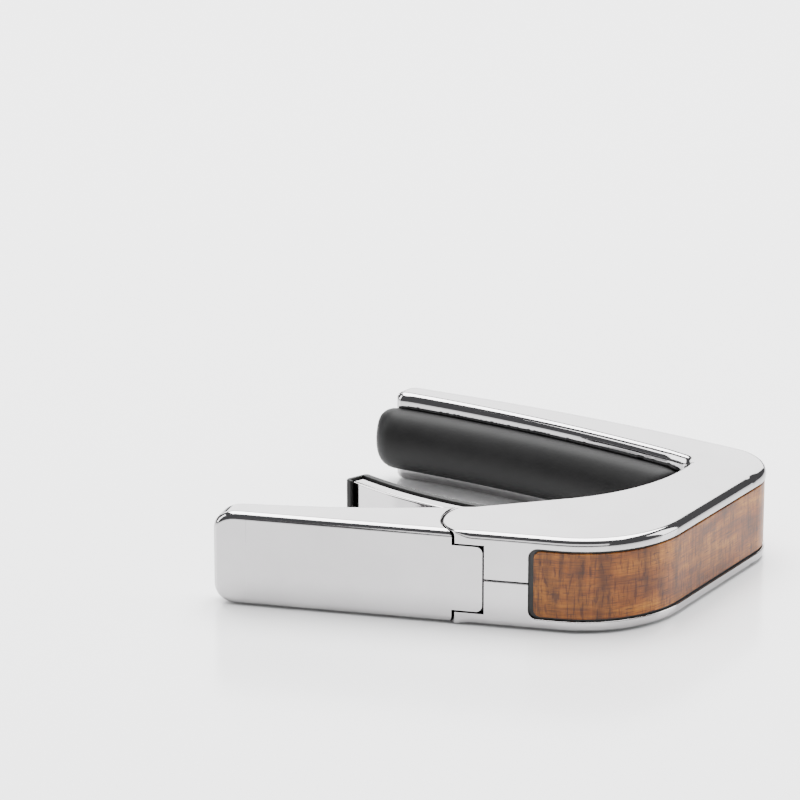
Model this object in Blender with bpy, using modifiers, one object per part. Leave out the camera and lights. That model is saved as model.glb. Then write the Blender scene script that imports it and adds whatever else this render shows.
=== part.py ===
"""Spring-clamp guitar capo, lying on its side.

The origin is the middle of the footprint, +Z runs up through the width of the
casting, and the long axis lies near X. The fret pad's arm is at the top right in
plan, the squeeze lever at the lower left, and the neck goes in the gap between
the fret pad and the padded clamp arm.

Outlines are worked out in millimetres; MM turns them into metres when a mesh or
a curve is made.
"""

import math

import bmesh
import bpy
from mathutils import Matrix, Vector

MM = 0.001

# Cutters run this far past the faces that they cut.
OVERRUN = 1.0
# Edges this close to level, in millimetres, count as level.
LEVEL = 0.01

# Casting: two mirrored halves that meet at the middle plane.
WIDTH = 15.0
MIDDLE = WIDTH / 2
SPLIT_GAP = 0.12
EDGE_ROUND = 0.9
SEAM_ROUND = 0.35

# Outer wall of the casting: sharp corners of the plan and their radii.
LOWER_WALL_START = (-41.38, -23.9)
LOWER_CORNER = (21.12, -38.6, 17.5)
TIGHT_CORNER = (46.0, 0.55, 9.5)
ARM_CREST = (18.2, 20.75, 300.0)
ARM_TIP_OUTER = (-12.6, 36.4, 2.2)
ARM_TIP_INNER = (-15.8, 32.33, 1.4)
WALL_NORMAL = Vector((0.229, 0.9734)).normalized()

# Inner wall: the fretboard arc, the tight corner and the throat arc.
FRET_RADIUS = 241.3
FRET_CENTRE = (-128.5, -180.7)
FRET_TIP_DEG = 61.4
FRET_THROAT_DEG = 49.7
THROAT_CORNER = (31.1, -0.2, 2.5)
THROAT_CENTRE = (3.22, 12.5)
THROAT_RADIUS = 30.8
THROAT_START_DEG = -30.0
THROAT_END_DEG = -77.3

# Hinges. The lever turns about one pin and drives the clamp arm's hub round the other.
LEVER_PIVOT = (-0.58, -27.4)
CLAMP_PIVOT = (8.3, -26.3)
CHEEK_RADIUS = 7.45
SEAM_DEGREES = (127.6, 219.6)
SEAM_STEPS = 7
SEAM_GAP = 0.3
PIN_RADIUS = 1.2
BORE_RADIUS = 1.3
PIN_END = 0.95
BORE_END = 0.8

# Slot between the two cheeks, where both hubs work.
SLOT_LOW = 2.0
SLOT_LEVER_RADIUS = 4.1
SLOT_CLAMP_RADIUS = 4.9
SLOT_WALL_DEG = -103.2
SLOT_FLOOR_DEG = -88.0
SLOT_LEFT = -20.0
SLOT_BOTTOM = -40.0
SLOT_TOP = -10.0
HUB_LOW = 2.7
WASHER_LOW = 2.12
WASHER_HIGH = 2.58
LEVER_WASHER_RADIUS = 3.2
CLAMP_WASHER_RADIUS = 4.0

# Inlay: a pocket round the outer wall, with a bed under a wooden strip.
POCKET_DEPTH = 1.7
POCKET_LOW = 1.9
POCKET_CORNER = 1.5
INLAY_START = (4.6, -34.72)
INLAY_END = (-9.7, 35.2)
STRIP_OUTER = 0.25
STRIP_INNER = 1.05
BED_OUTER = 1.2
BED_INNER = 1.5
INLAY_SIDE_GAP = 0.3
POCKET_CORNER_REACH = 3.0

# Fret pad and its channel, which is open at the arm's tip.
CHANNEL_DEPTH = 2.3
CHANNEL_LOW = 2.75
CHANNEL_DEGREES = (63.3, 49.15)
CARRIER_DEGREES = (61.9, 49.25)
PAD_DEGREES = (62.65, 49.2)
PAD_HALF_WIDTH = 4.75
PAD_NECK_SHARE = 0.96
PAD_HEIGHT = 4.8
PAD_CROWN_BASE = 0.3
PAD_CROWN_STEPS = 14
PAD_FOOT_HALF_WIDTH = 4.5
PAD_FOOT_TOP = 0.25
PAD_END_ROUND = 3.6
PAD_END_STATIONS = (0.05, 0.4, 1.1, 2.2, PAD_END_ROUND)
PAD_MIDDLE_STEPS = 7
CARRIER_BOTTOM = -2.1
CARRIER_TOP = -1.3
PAD_BOTTOM = -1.1

# Clamp arm and its rubber boot: arcs about one centre.
BOOT_CENTRE = (26.4, 40.0)
BOOT_RADIUS = 61.0
BOOT_LOW = 2.6
BOOT_ROOT_DEG = -106.5
BOOT_CAP_DEG = -139.3
BOOT_CAP_ROUND_DEG = 0.5
BOOT_CAP_ROUND = 0.6
BOOT_LIP_DEG = -138.0
BOOT_LIP_INNER = 64.7
BOOT_LIP_OUTER = 65.3
BOOT_EDGE_ROUND = 0.35
BOOT_GAP = 0.25
ARM_FRONT_RADIUS = 62.3
ARM_ROOT_DEG = -105.5
ARM_TIP_DEG = -138.5
ARM_TIP_THICKNESS = 2.1
ARM_BACK_MIDDLE = (2.6, -127.5, 60.0)
ARM_BACK_ROOT = (2.7, -116.0, 6.0)
CLAMP_HUB_RADIUS = 4.4
CLAMP_HUB_DEGREES = (128.0, 375.0)

# Squeeze lever.
LEVER_RIM = ((-4.0, -21.3), (-25.2, -21.2, 60.0), (-39.4, -19.5, 5.0))
LEVER_TIP = (-42.85, -20.1)
LEVER_TIP_REACH = 0.4
LEVER_TIP_ROUND = 2.6
LEVER_ROUND = 1.2
LEVER_WALL = 2.2
LEVER_FLOOR = 1.8
LEVER_HUB_RADIUS = 3.4
LEVER_SHARP_X = -4.5
CAVITY_LEFT_X = -37.8
CAVITY_RIGHT_X = 12.0
CAVITY_TOP = -10.0
CAVITY_CORNER = 0.8
TONGUE_LOW = 2.3
TONGUE_END_X = -2.25
TONGUE_END_HEIGHT = 2.6
EAR_LOW = 1.2
EAR_HIGH = 4.9
EAR_WEB_TOP = (-9.6, -27.9)
EAR_WEB_FOOT_X = (-12.0, -3.3)
EAR_WEB_FOOT_INSIDE = 0.9
EAR_HUB_DEGREES = (-115.0, 130.0)
# Recess that sets each ear back from its washer: below, left and right of the pin.
RECESS_BELOW = 3.9
RECESS_LEFT = 4.2
RECESS_REACH = 12.0

# Gearing: one rounded tooth on the lever's hub in a notch of the clamp hub.
GEAR_RATIO = 1.5
TOOTH_RADIUS = 1.1
TOOTH_HALF_DEG = 70.0
TOOTH_ROOT_DEG = 16.0
NOTCH_RADIUS = 1.5
NOTCH_MOUTH = 3.5
NOTCH_FLARE = 1.9

# Torsion spring round the lever's pin.
COIL_RADIUS = 2.6
WIRE_RADIUS = 0.45
COIL_TURNS = 4
COIL_LOW = 5.7
COIL_HIGH = 9.3
COIL_START_DEG = -103.0
COIL_END_DEG = -88.0
COIL_STEPS = 16
LEVER_LEG_X = -10.5
LEVER_LEG_GAP = 0.3
CASTING_LEG_END = (4.3, -30.5)
BUSH_RADIUS = 1.95
BUSH_LOW = 5.05

# Dowels that line up the two halves of the casting.
DOWELS = ((12.9, -31.4), (29.6, -17.5), (33.5, 3.2), (19.4, 14.7))
DOWEL_RADIUS = 0.8
DOWEL_LOW = 4.5
DOWEL_SIDE_GAP = 0.1
DOWEL_END_GAP = 0.2

# Cored pockets inside the casting, as plan corners with radii.
CORES = (
    ((15, -32, 1.5), (23, -29.3, 2.5), (27, -21.5, 1.5), (20.5, -17, 1.5), (15, -19, 1.5)),
    ((25.8, -12.5, 1.5), (33, -13.2, 1.5), (37, -4.5, 2.0), (32.2, -4, 1.5)),
)
CORE_LOW = 2.5

ROUND_STEPS = 32


# ---------------------------------------------------------------- plan geometry


def point_at(centre, radius, degrees):
    angle = math.radians(degrees)
    return Vector((centre[0] + radius * math.cos(angle), centre[1] + radius * math.sin(angle)))


def step_for(radius):
    """Largest turn between two outline points, in degrees: finer on a larger arc."""
    return min(11.0, max(1.5, 20.0 / math.sqrt(radius)))


def arc(centre, radius, start, end, steps=None):
    """Points along an arc from one angle to another, in degrees."""
    steps = steps or max(1, math.ceil(abs(end - start) / step_for(radius)))
    return [point_at(centre, radius, start + (end - start) * i / steps) for i in range(steps + 1)]


def rounded(corners, closed=True):
    """An outline through (x, y) or (x, y, radius) corners, each rounded by a tangent arc."""
    outline = []
    last = len(corners) - 1
    for i, corner in enumerate(corners):
        here = Vector(corner[:2])
        is_end = not closed and i in (0, last)
        if len(corner) < 3 or is_end:
            outline.append(here)
            continue
        to_before = (Vector(corners[i - 1][:2]) - here).normalized()
        to_after = (Vector(corners[(i + 1) % len(corners)][:2]) - here).normalized()
        half = to_before.angle(to_after) / 2
        reach = corner[2] / math.tan(half)
        centre = here + (to_before + to_after).normalized() * (corner[2] / math.sin(half))
        start = here + to_before * reach - centre
        end = here + to_after * reach - centre
        start_deg = math.degrees(math.atan2(start.y, start.x))
        turn = math.degrees(math.atan2(start.cross(end), start.dot(end)))
        outline += arc(centre, corner[2], start_deg, start_deg + turn)
    return outline


def offset(path, distance):
    """The open path moved sideways, to its left when the distance is positive."""
    moved = []
    for i, here in enumerate(path):
        before = path[max(i - 1, 0)]
        after = path[min(i + 1, len(path) - 1)]
        along = (after - before).normalized()
        moved.append(here + Vector((-along.y, along.x)) * distance)
    return moved


def band(path, near, far):
    """The closed outline between two offsets of an open path."""
    return offset(path, near) + offset(path, far)[::-1]


def inlay_path():
    """The outer wall from the lever end of the inlay to its arm-tip end."""
    return rounded((INLAY_START, LOWER_CORNER, TIGHT_CORNER, ARM_CREST, INLAY_END), closed=False)


def seam_arc():
    """The round end of the cheeks, in steps longer than the rounding of the walls it meets."""
    return arc(LEVER_PIVOT, CHEEK_RADIUS, *SEAM_DEGREES, steps=SEAM_STEPS)


def inner_wall():
    """From the arm tip along the fretboard arc and round the throat to the seam."""
    fretboard = arc(FRET_CENTRE, FRET_RADIUS, FRET_TIP_DEG, FRET_THROAT_DEG)
    throat = arc(THROAT_CENTRE, THROAT_RADIUS, THROAT_START_DEG, THROAT_END_DEG)
    return rounded(fretboard + [THROAT_CORNER] + throat + [seam_arc()[0]], closed=False)


def casting_outline():
    inside = inner_wall()
    outside = [LOWER_CORNER, TIGHT_CORNER, ARM_CREST, ARM_TIP_OUTER, ARM_TIP_INNER]
    return rounded(seam_arc() + outside + inside[:1], closed=False)[:-1] + inside[:-1]


# ---------------------------------------------------------------- scene helpers


def clear_scene():
    for obj in list(bpy.data.objects):
        bpy.data.objects.remove(obj, do_unlink=True)


def collection(name):
    made = bpy.data.collections.new(name)
    bpy.context.scene.collection.children.link(made)
    return made


def material(name, color, roughness, metallic):
    made = bpy.data.materials.new(name)
    made.use_nodes = True
    shader = made.node_tree.nodes["Principled BSDF"]
    shader.inputs["Base Color"].default_value = (*color, 1.0)
    shader.inputs["Roughness"].default_value = roughness
    shader.inputs["Metallic"].default_value = metallic
    made.diffuse_color = (*color, 1.0)
    return made


def link(obj, home):
    home.objects.link(obj)
    return obj


def as_mesh(curve_object, home):
    """A curve object made a welded mesh object in world space, and the curve removed."""
    name = curve_object.name
    bpy.context.view_layer.update()
    graph = bpy.context.evaluated_depsgraph_get()
    mesh = bpy.data.meshes.new_from_object(curve_object.evaluated_get(graph))
    mesh.transform(curve_object.matrix_world)
    bpy.data.objects.remove(curve_object)
    shape = bmesh.new()
    shape.from_mesh(mesh)
    bmesh.ops.remove_doubles(shape, verts=shape.verts, dist=1e-7)
    bmesh.ops.dissolve_limit(
        shape, angle_limit=math.radians(0.05), verts=shape.verts, edges=shape.edges
    )
    bmesh.ops.recalc_face_normals(shape, faces=shape.faces)
    shape.to_mesh(mesh)
    shape.free()
    mesh.name = name
    return link(bpy.data.objects.new(name, mesh), home)


def plate(name, outline, low, high, home):
    """A flat outline given its thickness along Z."""
    curve = bpy.data.curves.new(name, "CURVE")
    curve.dimensions = "2D"
    curve.fill_mode = "BOTH"
    curve.extrude = (high - low) / 2 * MM
    spline = curve.splines.new("POLY")
    spline.points.add(len(outline) - 1)
    for spot, corner in zip(spline.points, outline):
        spot.co = (corner[0] * MM, corner[1] * MM, 0, 1)
    spline.use_cyclic_u = True
    holder = link(bpy.data.objects.new(name, curve), home)
    holder.location.z = (low + high) / 2 * MM
    return as_mesh(holder, home)


def disc(name, centre, radius, low, high, home):
    """A cylinder along Z."""
    shape = bmesh.new()
    middle = Matrix.Translation((centre[0] * MM, centre[1] * MM, (low + high) / 2 * MM))
    bmesh.ops.create_cone(
        shape,
        cap_ends=True,
        segments=ROUND_STEPS,
        radius1=radius * MM,
        radius2=radius * MM,
        depth=(high - low) * MM,
        matrix=middle,
    )
    mesh = bpy.data.meshes.new(name)
    shape.to_mesh(mesh)
    shape.free()
    return link(bpy.data.objects.new(name, mesh), home)


def loft(name, rings, home):
    """A closed skin over rings that all have the same number of points."""
    shape = bmesh.new()
    loops = [[shape.verts.new(Vector(spot) * MM) for spot in ring] for ring in rings]
    size = len(rings[0])
    for lower, upper in zip(loops, loops[1:]):
        for i in range(size):
            j = (i + 1) % size
            shape.faces.new((lower[i], lower[j], upper[j], upper[i]))
    shape.faces.new(loops[0])
    shape.faces.new(loops[-1])
    bmesh.ops.recalc_face_normals(shape, faces=shape.faces)
    mesh = bpy.data.meshes.new(name)
    shape.to_mesh(mesh)
    shape.free()
    return link(bpy.data.objects.new(name, mesh), home)


def boolean(target, tool, operation="DIFFERENCE"):
    step = target.modifiers.new(tool.name, "BOOLEAN")
    step.operation = operation
    step.solver = "EXACT"
    step.object = tool


def hide_tool(tool):
    tool.hide_render = True
    tool.display_type = "WIRE"


def round_edges(obj, width, weight_of, segments=3):
    """A Bevel of the given width, times the weight that weight_of gives each edge."""
    shape = bmesh.new()
    shape.from_mesh(obj.data)
    layer = shape.edges.layers.float.new("bevel_weight_edge")
    for edge in shape.edges:
        edge[layer] = weight_of(edge)
    shape.to_mesh(obj.data)
    shape.free()
    bevel = obj.modifiers.new("rounded_edges", "BEVEL")
    bevel.limit_method = "WEIGHT"
    bevel.width = width * MM
    bevel.segments = segments
    bevel.use_clamp_overlap = False


def smooth(obj):
    obj.data.shade_smooth()
    obj.data.set_sharp_from_angle(angle=math.radians(35))


def ride(objects, pivot, name, home):
    """An empty on a joint's axis, with the pieces of that moving body under it."""
    empty = link(bpy.data.objects.new(name, None), home)
    empty.empty_display_size = 0.01
    empty.location = (pivot[0] * MM, pivot[1] * MM, MIDDLE * MM)
    bpy.context.view_layer.update()
    for obj in objects:
        obj.parent = empty
        obj.matrix_parent_inverse = empty.matrix_world.inverted()


# ---------------------------------------------------------------- casting


def on_path(spot, path):
    return min((spot.xy - corner).length for corner in path) < LEVEL


def casting_weight(edge):
    """Rounding of the bottom edge: less along the seam than on the walls."""
    first, second = (vert.co / MM for vert in edge.verts)
    if max(first.z, second.z) > LEVEL:
        return 0.0
    if on_path(first, seam_arc()) and on_path(second, seam_arc()):
        return SEAM_ROUND / EDGE_ROUND
    return 1.0


def slot_outline():
    """The slot is open towards the lever and the clamp arm, and round under both hubs."""
    wall_end = Vector(LEVER_PIVOT) - WALL_NORMAL * SLOT_LEVER_RADIUS
    below = wall_end - WALL_NORMAL * ((wall_end.y - SLOT_BOTTOM) / WALL_NORMAL.y)
    under_lever = arc(LEVER_PIVOT, SLOT_LEVER_RADIUS, SLOT_WALL_DEG, SLOT_FLOOR_DEG)
    under_clamp = arc(CLAMP_PIVOT, SLOT_CLAMP_RADIUS, SLOT_FLOOR_DEG, 0.0)
    open_side = [(SLOT_LEFT, SLOT_TOP), (SLOT_LEFT, SLOT_BOTTOM), below]
    return open_side + under_lever + under_clamp + [(CLAMP_PIVOT[0] + SLOT_CLAMP_RADIUS, SLOT_TOP)]


def inlay_pocket(home):
    """Cutter for the inlay's pocket, with rounded corners at its two ends."""
    path = inlay_path()
    outline = band(path, -OVERRUN, POCKET_DEPTH)
    pocket = plate("inlay_pocket", outline, POCKET_LOW, WIDTH - POCKET_LOW, home)
    round_ends(pocket, path, POCKET_CORNER)
    return pocket


def round_ends(obj, path, radius):
    """Rounds the four end corners of a band that follows the outer wall."""
    ends = ((path[0], path[1]), (path[-1], path[-2]))

    def at_end(spot):
        for end, inner in ends:
            away = spot.xy - end
            along = away.dot((inner - end).normalized())
            if abs(along) < 2 * LEVEL and away.length < POCKET_CORNER_REACH:
                return True
        return False

    def weight_of(edge):
        first, second = (vert.co / MM for vert in edge.verts)
        level = abs(first.z - second.z) < LEVEL
        return 1.0 if level and at_end(first) and at_end(second) else 0.0

    round_edges(obj, radius, weight_of, segments=4)


def pad_channel(home):
    """Cutter for the channel that holds the fret pad's foot."""
    tip, throat = CHANNEL_DEGREES
    inner = arc(FRET_CENTRE, FRET_RADIUS - OVERRUN, tip, throat)
    outer = arc(FRET_CENTRE, FRET_RADIUS + CHANNEL_DEPTH, throat, tip)
    return plate("pad_channel", inner + outer, CHANNEL_LOW, WIDTH - CHANNEL_LOW, home)


def casting_tools(home):
    """Everything that is cut from both halves."""
    tools = [
        plate("hinge_slot", slot_outline(), SLOT_LOW, WIDTH - SLOT_LOW, home),
        inlay_pocket(home),
        pad_channel(home),
        disc("lever_bore", LEVER_PIVOT, BORE_RADIUS, BORE_END, WIDTH - BORE_END, home),
        disc("clamp_bore", CLAMP_PIVOT, BORE_RADIUS, BORE_END, WIDTH - BORE_END, home),
    ]
    for i, corners in enumerate(CORES, start=1):
        tools.append(plate(f"core_{i}", rounded(corners), CORE_LOW, WIDTH - CORE_LOW, home))
    low = DOWEL_LOW - DOWEL_END_GAP
    radius = DOWEL_RADIUS + DOWEL_SIDE_GAP
    for i, spot in enumerate(DOWELS, start=1):
        tools.append(disc(f"dowel_bore_{i}", spot, radius, low, WIDTH - low, home))
    return tools


def casting_half(tools, home):
    """The lower half, with the bores, the pockets and the slot cut from it."""
    half = plate("frame_half_lower", casting_outline(), 0, MIDDLE - SPLIT_GAP / 2, home)
    round_edges(half, EDGE_ROUND, casting_weight)
    for tool in tools:
        boolean(half, tool)
    return half


def mirrored_half(half, home):
    """The other half of the casting: the first one mirrored at the middle plane."""
    bpy.context.view_layer.update()
    graph = bpy.context.evaluated_depsgraph_get()
    mesh = bpy.data.meshes.new_from_object(half.evaluated_get(graph))
    mesh.name = "frame_half_upper"
    mirror = Matrix.Translation((0, 0, WIDTH * MM)) @ Matrix.Scale(-1, 4, (0, 0, 1))
    mesh.transform(mirror)
    mesh.flip_normals()
    return link(bpy.data.objects.new("frame_half_upper", mesh), home)


# ---------------------------------------------------------------- inlay and fret pad


def inlay_layer(name, near, far, home):
    """The strip or its bed: a band between two depths below the outer wall."""
    path = inlay_path()
    low = POCKET_LOW + INLAY_SIDE_GAP
    shorter = [path[0] + (path[1] - path[0]).normalized() * INLAY_SIDE_GAP] + path[1:-1]
    shorter.append(path[-1] + (path[-2] - path[-1]).normalized() * INLAY_SIDE_GAP)
    layer = plate(name, band(shorter, near, far), low, WIDTH - low, home)
    round_ends(layer, shorter, POCKET_CORNER - INLAY_SIDE_GAP)
    return layer


def fret_frame(degrees):
    """A point on the fretboard arc and the direction from it into the neck gap."""
    spot = point_at(FRET_CENTRE, FRET_RADIUS, degrees)
    return spot, (Vector(FRET_CENTRE) - spot).normalized()


def fret_ring(degrees, section):
    """A (z, height) section stood on the fretboard arc."""
    spot, inward = fret_frame(degrees)
    ring = []
    for z, height in section:
        place = spot + inward * height
        ring.append((place.x, place.y, MIDDLE + z))
    return ring


def pad_section(fullness):
    """The foot in the channel and the half-round crown above it."""
    foot = PAD_FOOT_HALF_WIDTH
    section = [(-foot, PAD_FOOT_TOP), (-foot, PAD_BOTTOM), (foot, PAD_BOTTOM), (foot, PAD_FOOT_TOP)]
    width = PAD_HALF_WIDTH * (PAD_NECK_SHARE + (1 - PAD_NECK_SHARE) * fullness)
    rise = (PAD_HEIGHT - PAD_CROWN_BASE) * fullness
    for i in range(PAD_CROWN_STEPS + 1):
        angle = math.pi * i / PAD_CROWN_STEPS
        height = PAD_CROWN_BASE + rise * math.sin(angle)
        section.append((width * math.cos(angle), height))
    return section


def fret_pad(home):
    """The half-round pad, with its crown run down to nothing at both ends."""
    degrees_per_mm = math.degrees(1 / FRET_RADIUS)
    tip, throat = PAD_DEGREES
    length = (tip - throat) / degrees_per_mm
    step = (length - 2 * PAD_END_ROUND) / PAD_MIDDLE_STEPS
    places = list(PAD_END_STATIONS)
    places += [PAD_END_ROUND + step * i for i in range(1, PAD_MIDDLE_STEPS)]
    places += [length - place for place in reversed(PAD_END_STATIONS)]
    rings = []
    for place in places:
        from_end = min(place, length - place, PAD_END_ROUND)
        fullness = math.sqrt(1 - (1 - from_end / PAD_END_ROUND) ** 2)
        rings.append(fret_ring(tip - place * degrees_per_mm, pad_section(fullness)))
    return loft("fret_pad", rings, home)


def fret_pad_carrier(home):
    """The stiff bar under the pad, at the bottom of the channel."""
    tip, throat = CARRIER_DEGREES
    inner = arc(FRET_CENTRE, FRET_RADIUS - CARRIER_TOP, tip, throat)
    outer = arc(FRET_CENTRE, FRET_RADIUS - CARRIER_BOTTOM, throat, tip)
    low = MIDDLE - PAD_FOOT_HALF_WIDTH
    return plate("fret_pad_carrier", inner + outer, low, WIDTH - low, home)


# ---------------------------------------------------------------- clamp arm


def hinge_line():
    """The direction from the lever's pin to the clamp's pin, and the distance."""
    across = Vector(CLAMP_PIVOT) - Vector(LEVER_PIVOT)
    return across.normalized(), across.length


def notch_outline():
    """A rounded notch in the clamp hub that opens wider towards the lever's pin."""
    along, distance = hinge_line()
    sideways = Vector((-along.y, along.x))
    pitch = distance / (1 + GEAR_RATIO)
    centre = Vector(CLAMP_PIVOT) - along * pitch
    facing = math.degrees(math.atan2(along.y, along.x))
    mouth = centre - along * NOTCH_MOUTH
    half_mouth = sideways * (NOTCH_RADIUS + NOTCH_FLARE)
    bottom = arc(centre, NOTCH_RADIUS, facing - 90, facing + 90)
    return bottom + [mouth + half_mouth, mouth - half_mouth]


def clamp_outline():
    """The arm's front arc, its back, and the hub round the pin."""
    front = arc(BOOT_CENTRE, ARM_FRONT_RADIUS, ARM_ROOT_DEG, ARM_TIP_DEG)
    hub = arc(CLAMP_PIVOT, CLAMP_HUB_RADIUS, *CLAMP_HUB_DEGREES)
    back = [point_at(BOOT_CENTRE, ARM_FRONT_RADIUS + ARM_TIP_THICKNESS, ARM_TIP_DEG)]
    for thickness, degrees, radius in (ARM_BACK_MIDDLE, ARM_BACK_ROOT):
        back.append((*point_at(BOOT_CENTRE, ARM_FRONT_RADIUS + thickness, degrees), radius))
    return front + rounded(back + [hub[0]], closed=False)[:-1] + hub


def clamp_arm(home, tools):
    arm = plate("clamp_arm", clamp_outline(), HUB_LOW, WIDTH - HUB_LOW, home)
    notch = plate("clamp_notch", notch_outline(), 0, WIDTH, tools)
    bore = disc("clamp_hub_bore", CLAMP_PIVOT, BORE_RADIUS, 0, WIDTH, tools)
    boolean(arm, notch)
    boolean(arm, bore)
    return arm


def clamp_boot(home):
    """Rubber over the arm's face and tip, with a lip hooked behind the tip."""
    arm_end = ARM_TIP_DEG - BOOT_GAP
    face = arc(BOOT_CENTRE, BOOT_RADIUS, BOOT_ROOT_DEG, BOOT_CAP_DEG + BOOT_CAP_ROUND_DEG)
    cap = [
        point_at(BOOT_CENTRE, BOOT_RADIUS + BOOT_CAP_ROUND, BOOT_CAP_DEG),
        point_at(BOOT_CENTRE, BOOT_LIP_OUTER - BOOT_CAP_ROUND, BOOT_CAP_DEG),
        point_at(BOOT_CENTRE, BOOT_LIP_OUTER, BOOT_CAP_DEG + BOOT_CAP_ROUND_DEG),
        point_at(BOOT_CENTRE, BOOT_LIP_OUTER, BOOT_LIP_DEG),
        point_at(BOOT_CENTRE, BOOT_LIP_INNER, BOOT_LIP_DEG),
        point_at(BOOT_CENTRE, BOOT_LIP_INNER, arm_end),
    ]
    inside = arc(BOOT_CENTRE, ARM_FRONT_RADIUS - BOOT_GAP, arm_end, BOOT_ROOT_DEG)
    boot = plate("clamp_boot", face + cap + inside, BOOT_LOW, WIDTH - BOOT_LOW, home)

    def weight_of(edge):
        first, second = (vert.co / MM for vert in edge.verts)
        at_side = abs(first.z - second.z) < LEVEL
        middle = ((first + second) / 2).xy - Vector(BOOT_CENTRE)
        on_face = middle.length < BOOT_RADIUS + 2 * BOOT_GAP
        on_lip = middle.length > BOOT_LIP_INNER + 5 * LEVEL
        beyond = math.degrees(math.atan2(middle.y, middle.x)) < arm_end - 2 * BOOT_GAP
        return 1.0 if at_side and (on_face or on_lip or beyond) else 0.0

    round_edges(boot, BOOT_EDGE_ROUND, weight_of, segments=2)
    return boot


# ---------------------------------------------------------------- lever


def on_lower_wall(x, inside=0.0):
    """The point of the straight lower wall at a given x, moved in from the face."""
    start = Vector(LOWER_WALL_START)
    along = Vector((WALL_NORMAL.y, -WALL_NORMAL.x))
    face = start + along * ((x - start.x) / along.x)
    return face + WALL_NORMAL * inside


def lever_weight(edge):
    """Rounding of the lever: full along its face, less at the rim, none inside the hinge."""
    middle = (edge.verts[0].co + edge.verts[1].co).xy / 2 / MM
    if middle.x > LEVER_SHARP_X or edge.calc_face_angle(0) < math.radians(30):
        return 0.0
    from_face = (middle - Vector(LOWER_WALL_START)).dot(WALL_NORMAL)
    return 1.0 if from_face < 0.5 else 0.7


def round_lever_tip(body):
    """Rounds the two free corners of the lever's broad face."""
    shape = bmesh.new()
    shape.from_mesh(body.data)
    edges = [
        edge
        for edge in shape.edges
        if all(vert.co.x / MM < LEVER_TIP[0] + LEVER_TIP_REACH for vert in edge.verts)
        and abs(edge.verts[0].co.z - edge.verts[1].co.z) < LEVEL * MM
    ]
    bmesh.ops.bevel(
        shape,
        geom=edges,
        offset=LEVER_TIP_ROUND * MM,
        segments=5,
        profile=0.5,
        affect="EDGES",
    )
    shape.to_mesh(body.data)
    shape.free()


def lever_outline():
    """The rim, the tip, the broad face and the tongue that reaches over the hinge."""
    tip_foot = on_lower_wall(LEVER_TIP[0] + 0.1)
    tongue_end = on_lower_wall(TONGUE_END_X)
    tongue_top = tongue_end + WALL_NORMAL * TONGUE_END_HEIGHT
    return rounded((*LEVER_RIM, LEVER_TIP, tip_foot, tongue_end, tongue_top))


def lever_cavity():
    """Side view of the space between the lever's walls, open at the rim and the hinge."""
    floor_left = on_lower_wall(CAVITY_LEFT_X, LEVER_FLOOR)
    floor_right = on_lower_wall(CAVITY_RIGHT_X, LEVER_FLOOR)
    top_left = (CAVITY_LEFT_X, CAVITY_TOP)
    top_right = (CAVITY_RIGHT_X, CAVITY_TOP)
    return rounded(((*floor_left, CAVITY_CORNER), floor_right, top_right, top_left))


def ear_outline():
    """The lever's hub ears: a hub with one tooth, and the web back to the lever's wall."""
    along, distance = hinge_line()
    facing = math.degrees(math.atan2(along.y, along.x))
    tooth_centre = Vector(LEVER_PIVOT) + along * (distance * GEAR_RATIO / (1 + GEAR_RATIO))
    start, end = EAR_HUB_DEGREES
    below = arc(LEVER_PIVOT, LEVER_HUB_RADIUS, start, facing - TOOTH_ROOT_DEG)
    tooth = arc(tooth_centre, TOOTH_RADIUS, facing - TOOTH_HALF_DEG, facing + TOOTH_HALF_DEG)
    above = arc(LEVER_PIVOT, LEVER_HUB_RADIUS, facing + TOOTH_ROOT_DEG, end)
    web = [EAR_WEB_TOP] + [on_lower_wall(x, EAR_WEB_FOOT_INSIDE) for x in EAR_WEB_FOOT_X]
    return below + tooth + above + web


def both_sides(low, high):
    """The same span of heights at the lower and the upper side of the capo."""
    return (("lower", low, high), ("upper", WIDTH - high, WIDTH - low))


def lever(home, tools):
    """A channel with a solid tip, two hub ears, and a tongue over the cheeks."""
    body = plate("lever", lever_outline(), 0, WIDTH, home)
    round_lever_tip(body)
    round_edges(body, LEVER_ROUND, lever_weight)
    cavity = plate("lever_cavity", lever_cavity(), LEVER_WALL, WIDTH - LEVER_WALL, tools)
    boolean(body, cavity)
    for side, low, high in both_sides(EAR_LOW, EAR_HIGH):
        ear = plate(f"lever_ear_{side}", ear_outline(), low, high, tools)
        boolean(body, ear, "UNION")
    reach = CHEEK_RADIUS + SEAM_GAP
    for side, low, high in both_sides(-OVERRUN, TONGUE_LOW):
        boolean(body, cheek_disc(f"cheek_{side}", reach, low, high, tools))
    for side, low, high in both_sides(SLOT_LOW, HUB_LOW):
        boolean(body, plate(f"hub_face_{side}", hub_face(), low, high, tools))
    boolean(body, disc("lever_hub_bore", LEVER_PIVOT, BORE_RADIUS, 0, WIDTH, tools))
    return body


def cheek_disc(name, radius, low, high, home):
    """Cutter that leaves room for a cheek's round end."""
    return plate(name, arc(LEVER_PIVOT, radius, 0, 356), low, high, home)


def hub_face():
    """Plan of the recess that sets each ear back from its washer."""
    centre = Vector(LEVER_PIVOT)
    along = Vector((WALL_NORMAL.y, -WALL_NORMAL.x))
    left = centre - WALL_NORMAL * RECESS_BELOW - along * RECESS_LEFT
    right = left + along * (RECESS_LEFT + RECESS_REACH)
    return [left, right, right + WALL_NORMAL * RECESS_REACH, left + WALL_NORMAL * RECESS_REACH]


# ---------------------------------------------------------------- hinge hardware


def ring(name, centre, outer, inner, low, high, home, tools):
    made = disc(name, centre, outer, low, high, home)
    boolean(made, disc(f"{name}_bore", centre, inner, low - OVERRUN, high + OVERRUN, tools))
    return made


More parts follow.
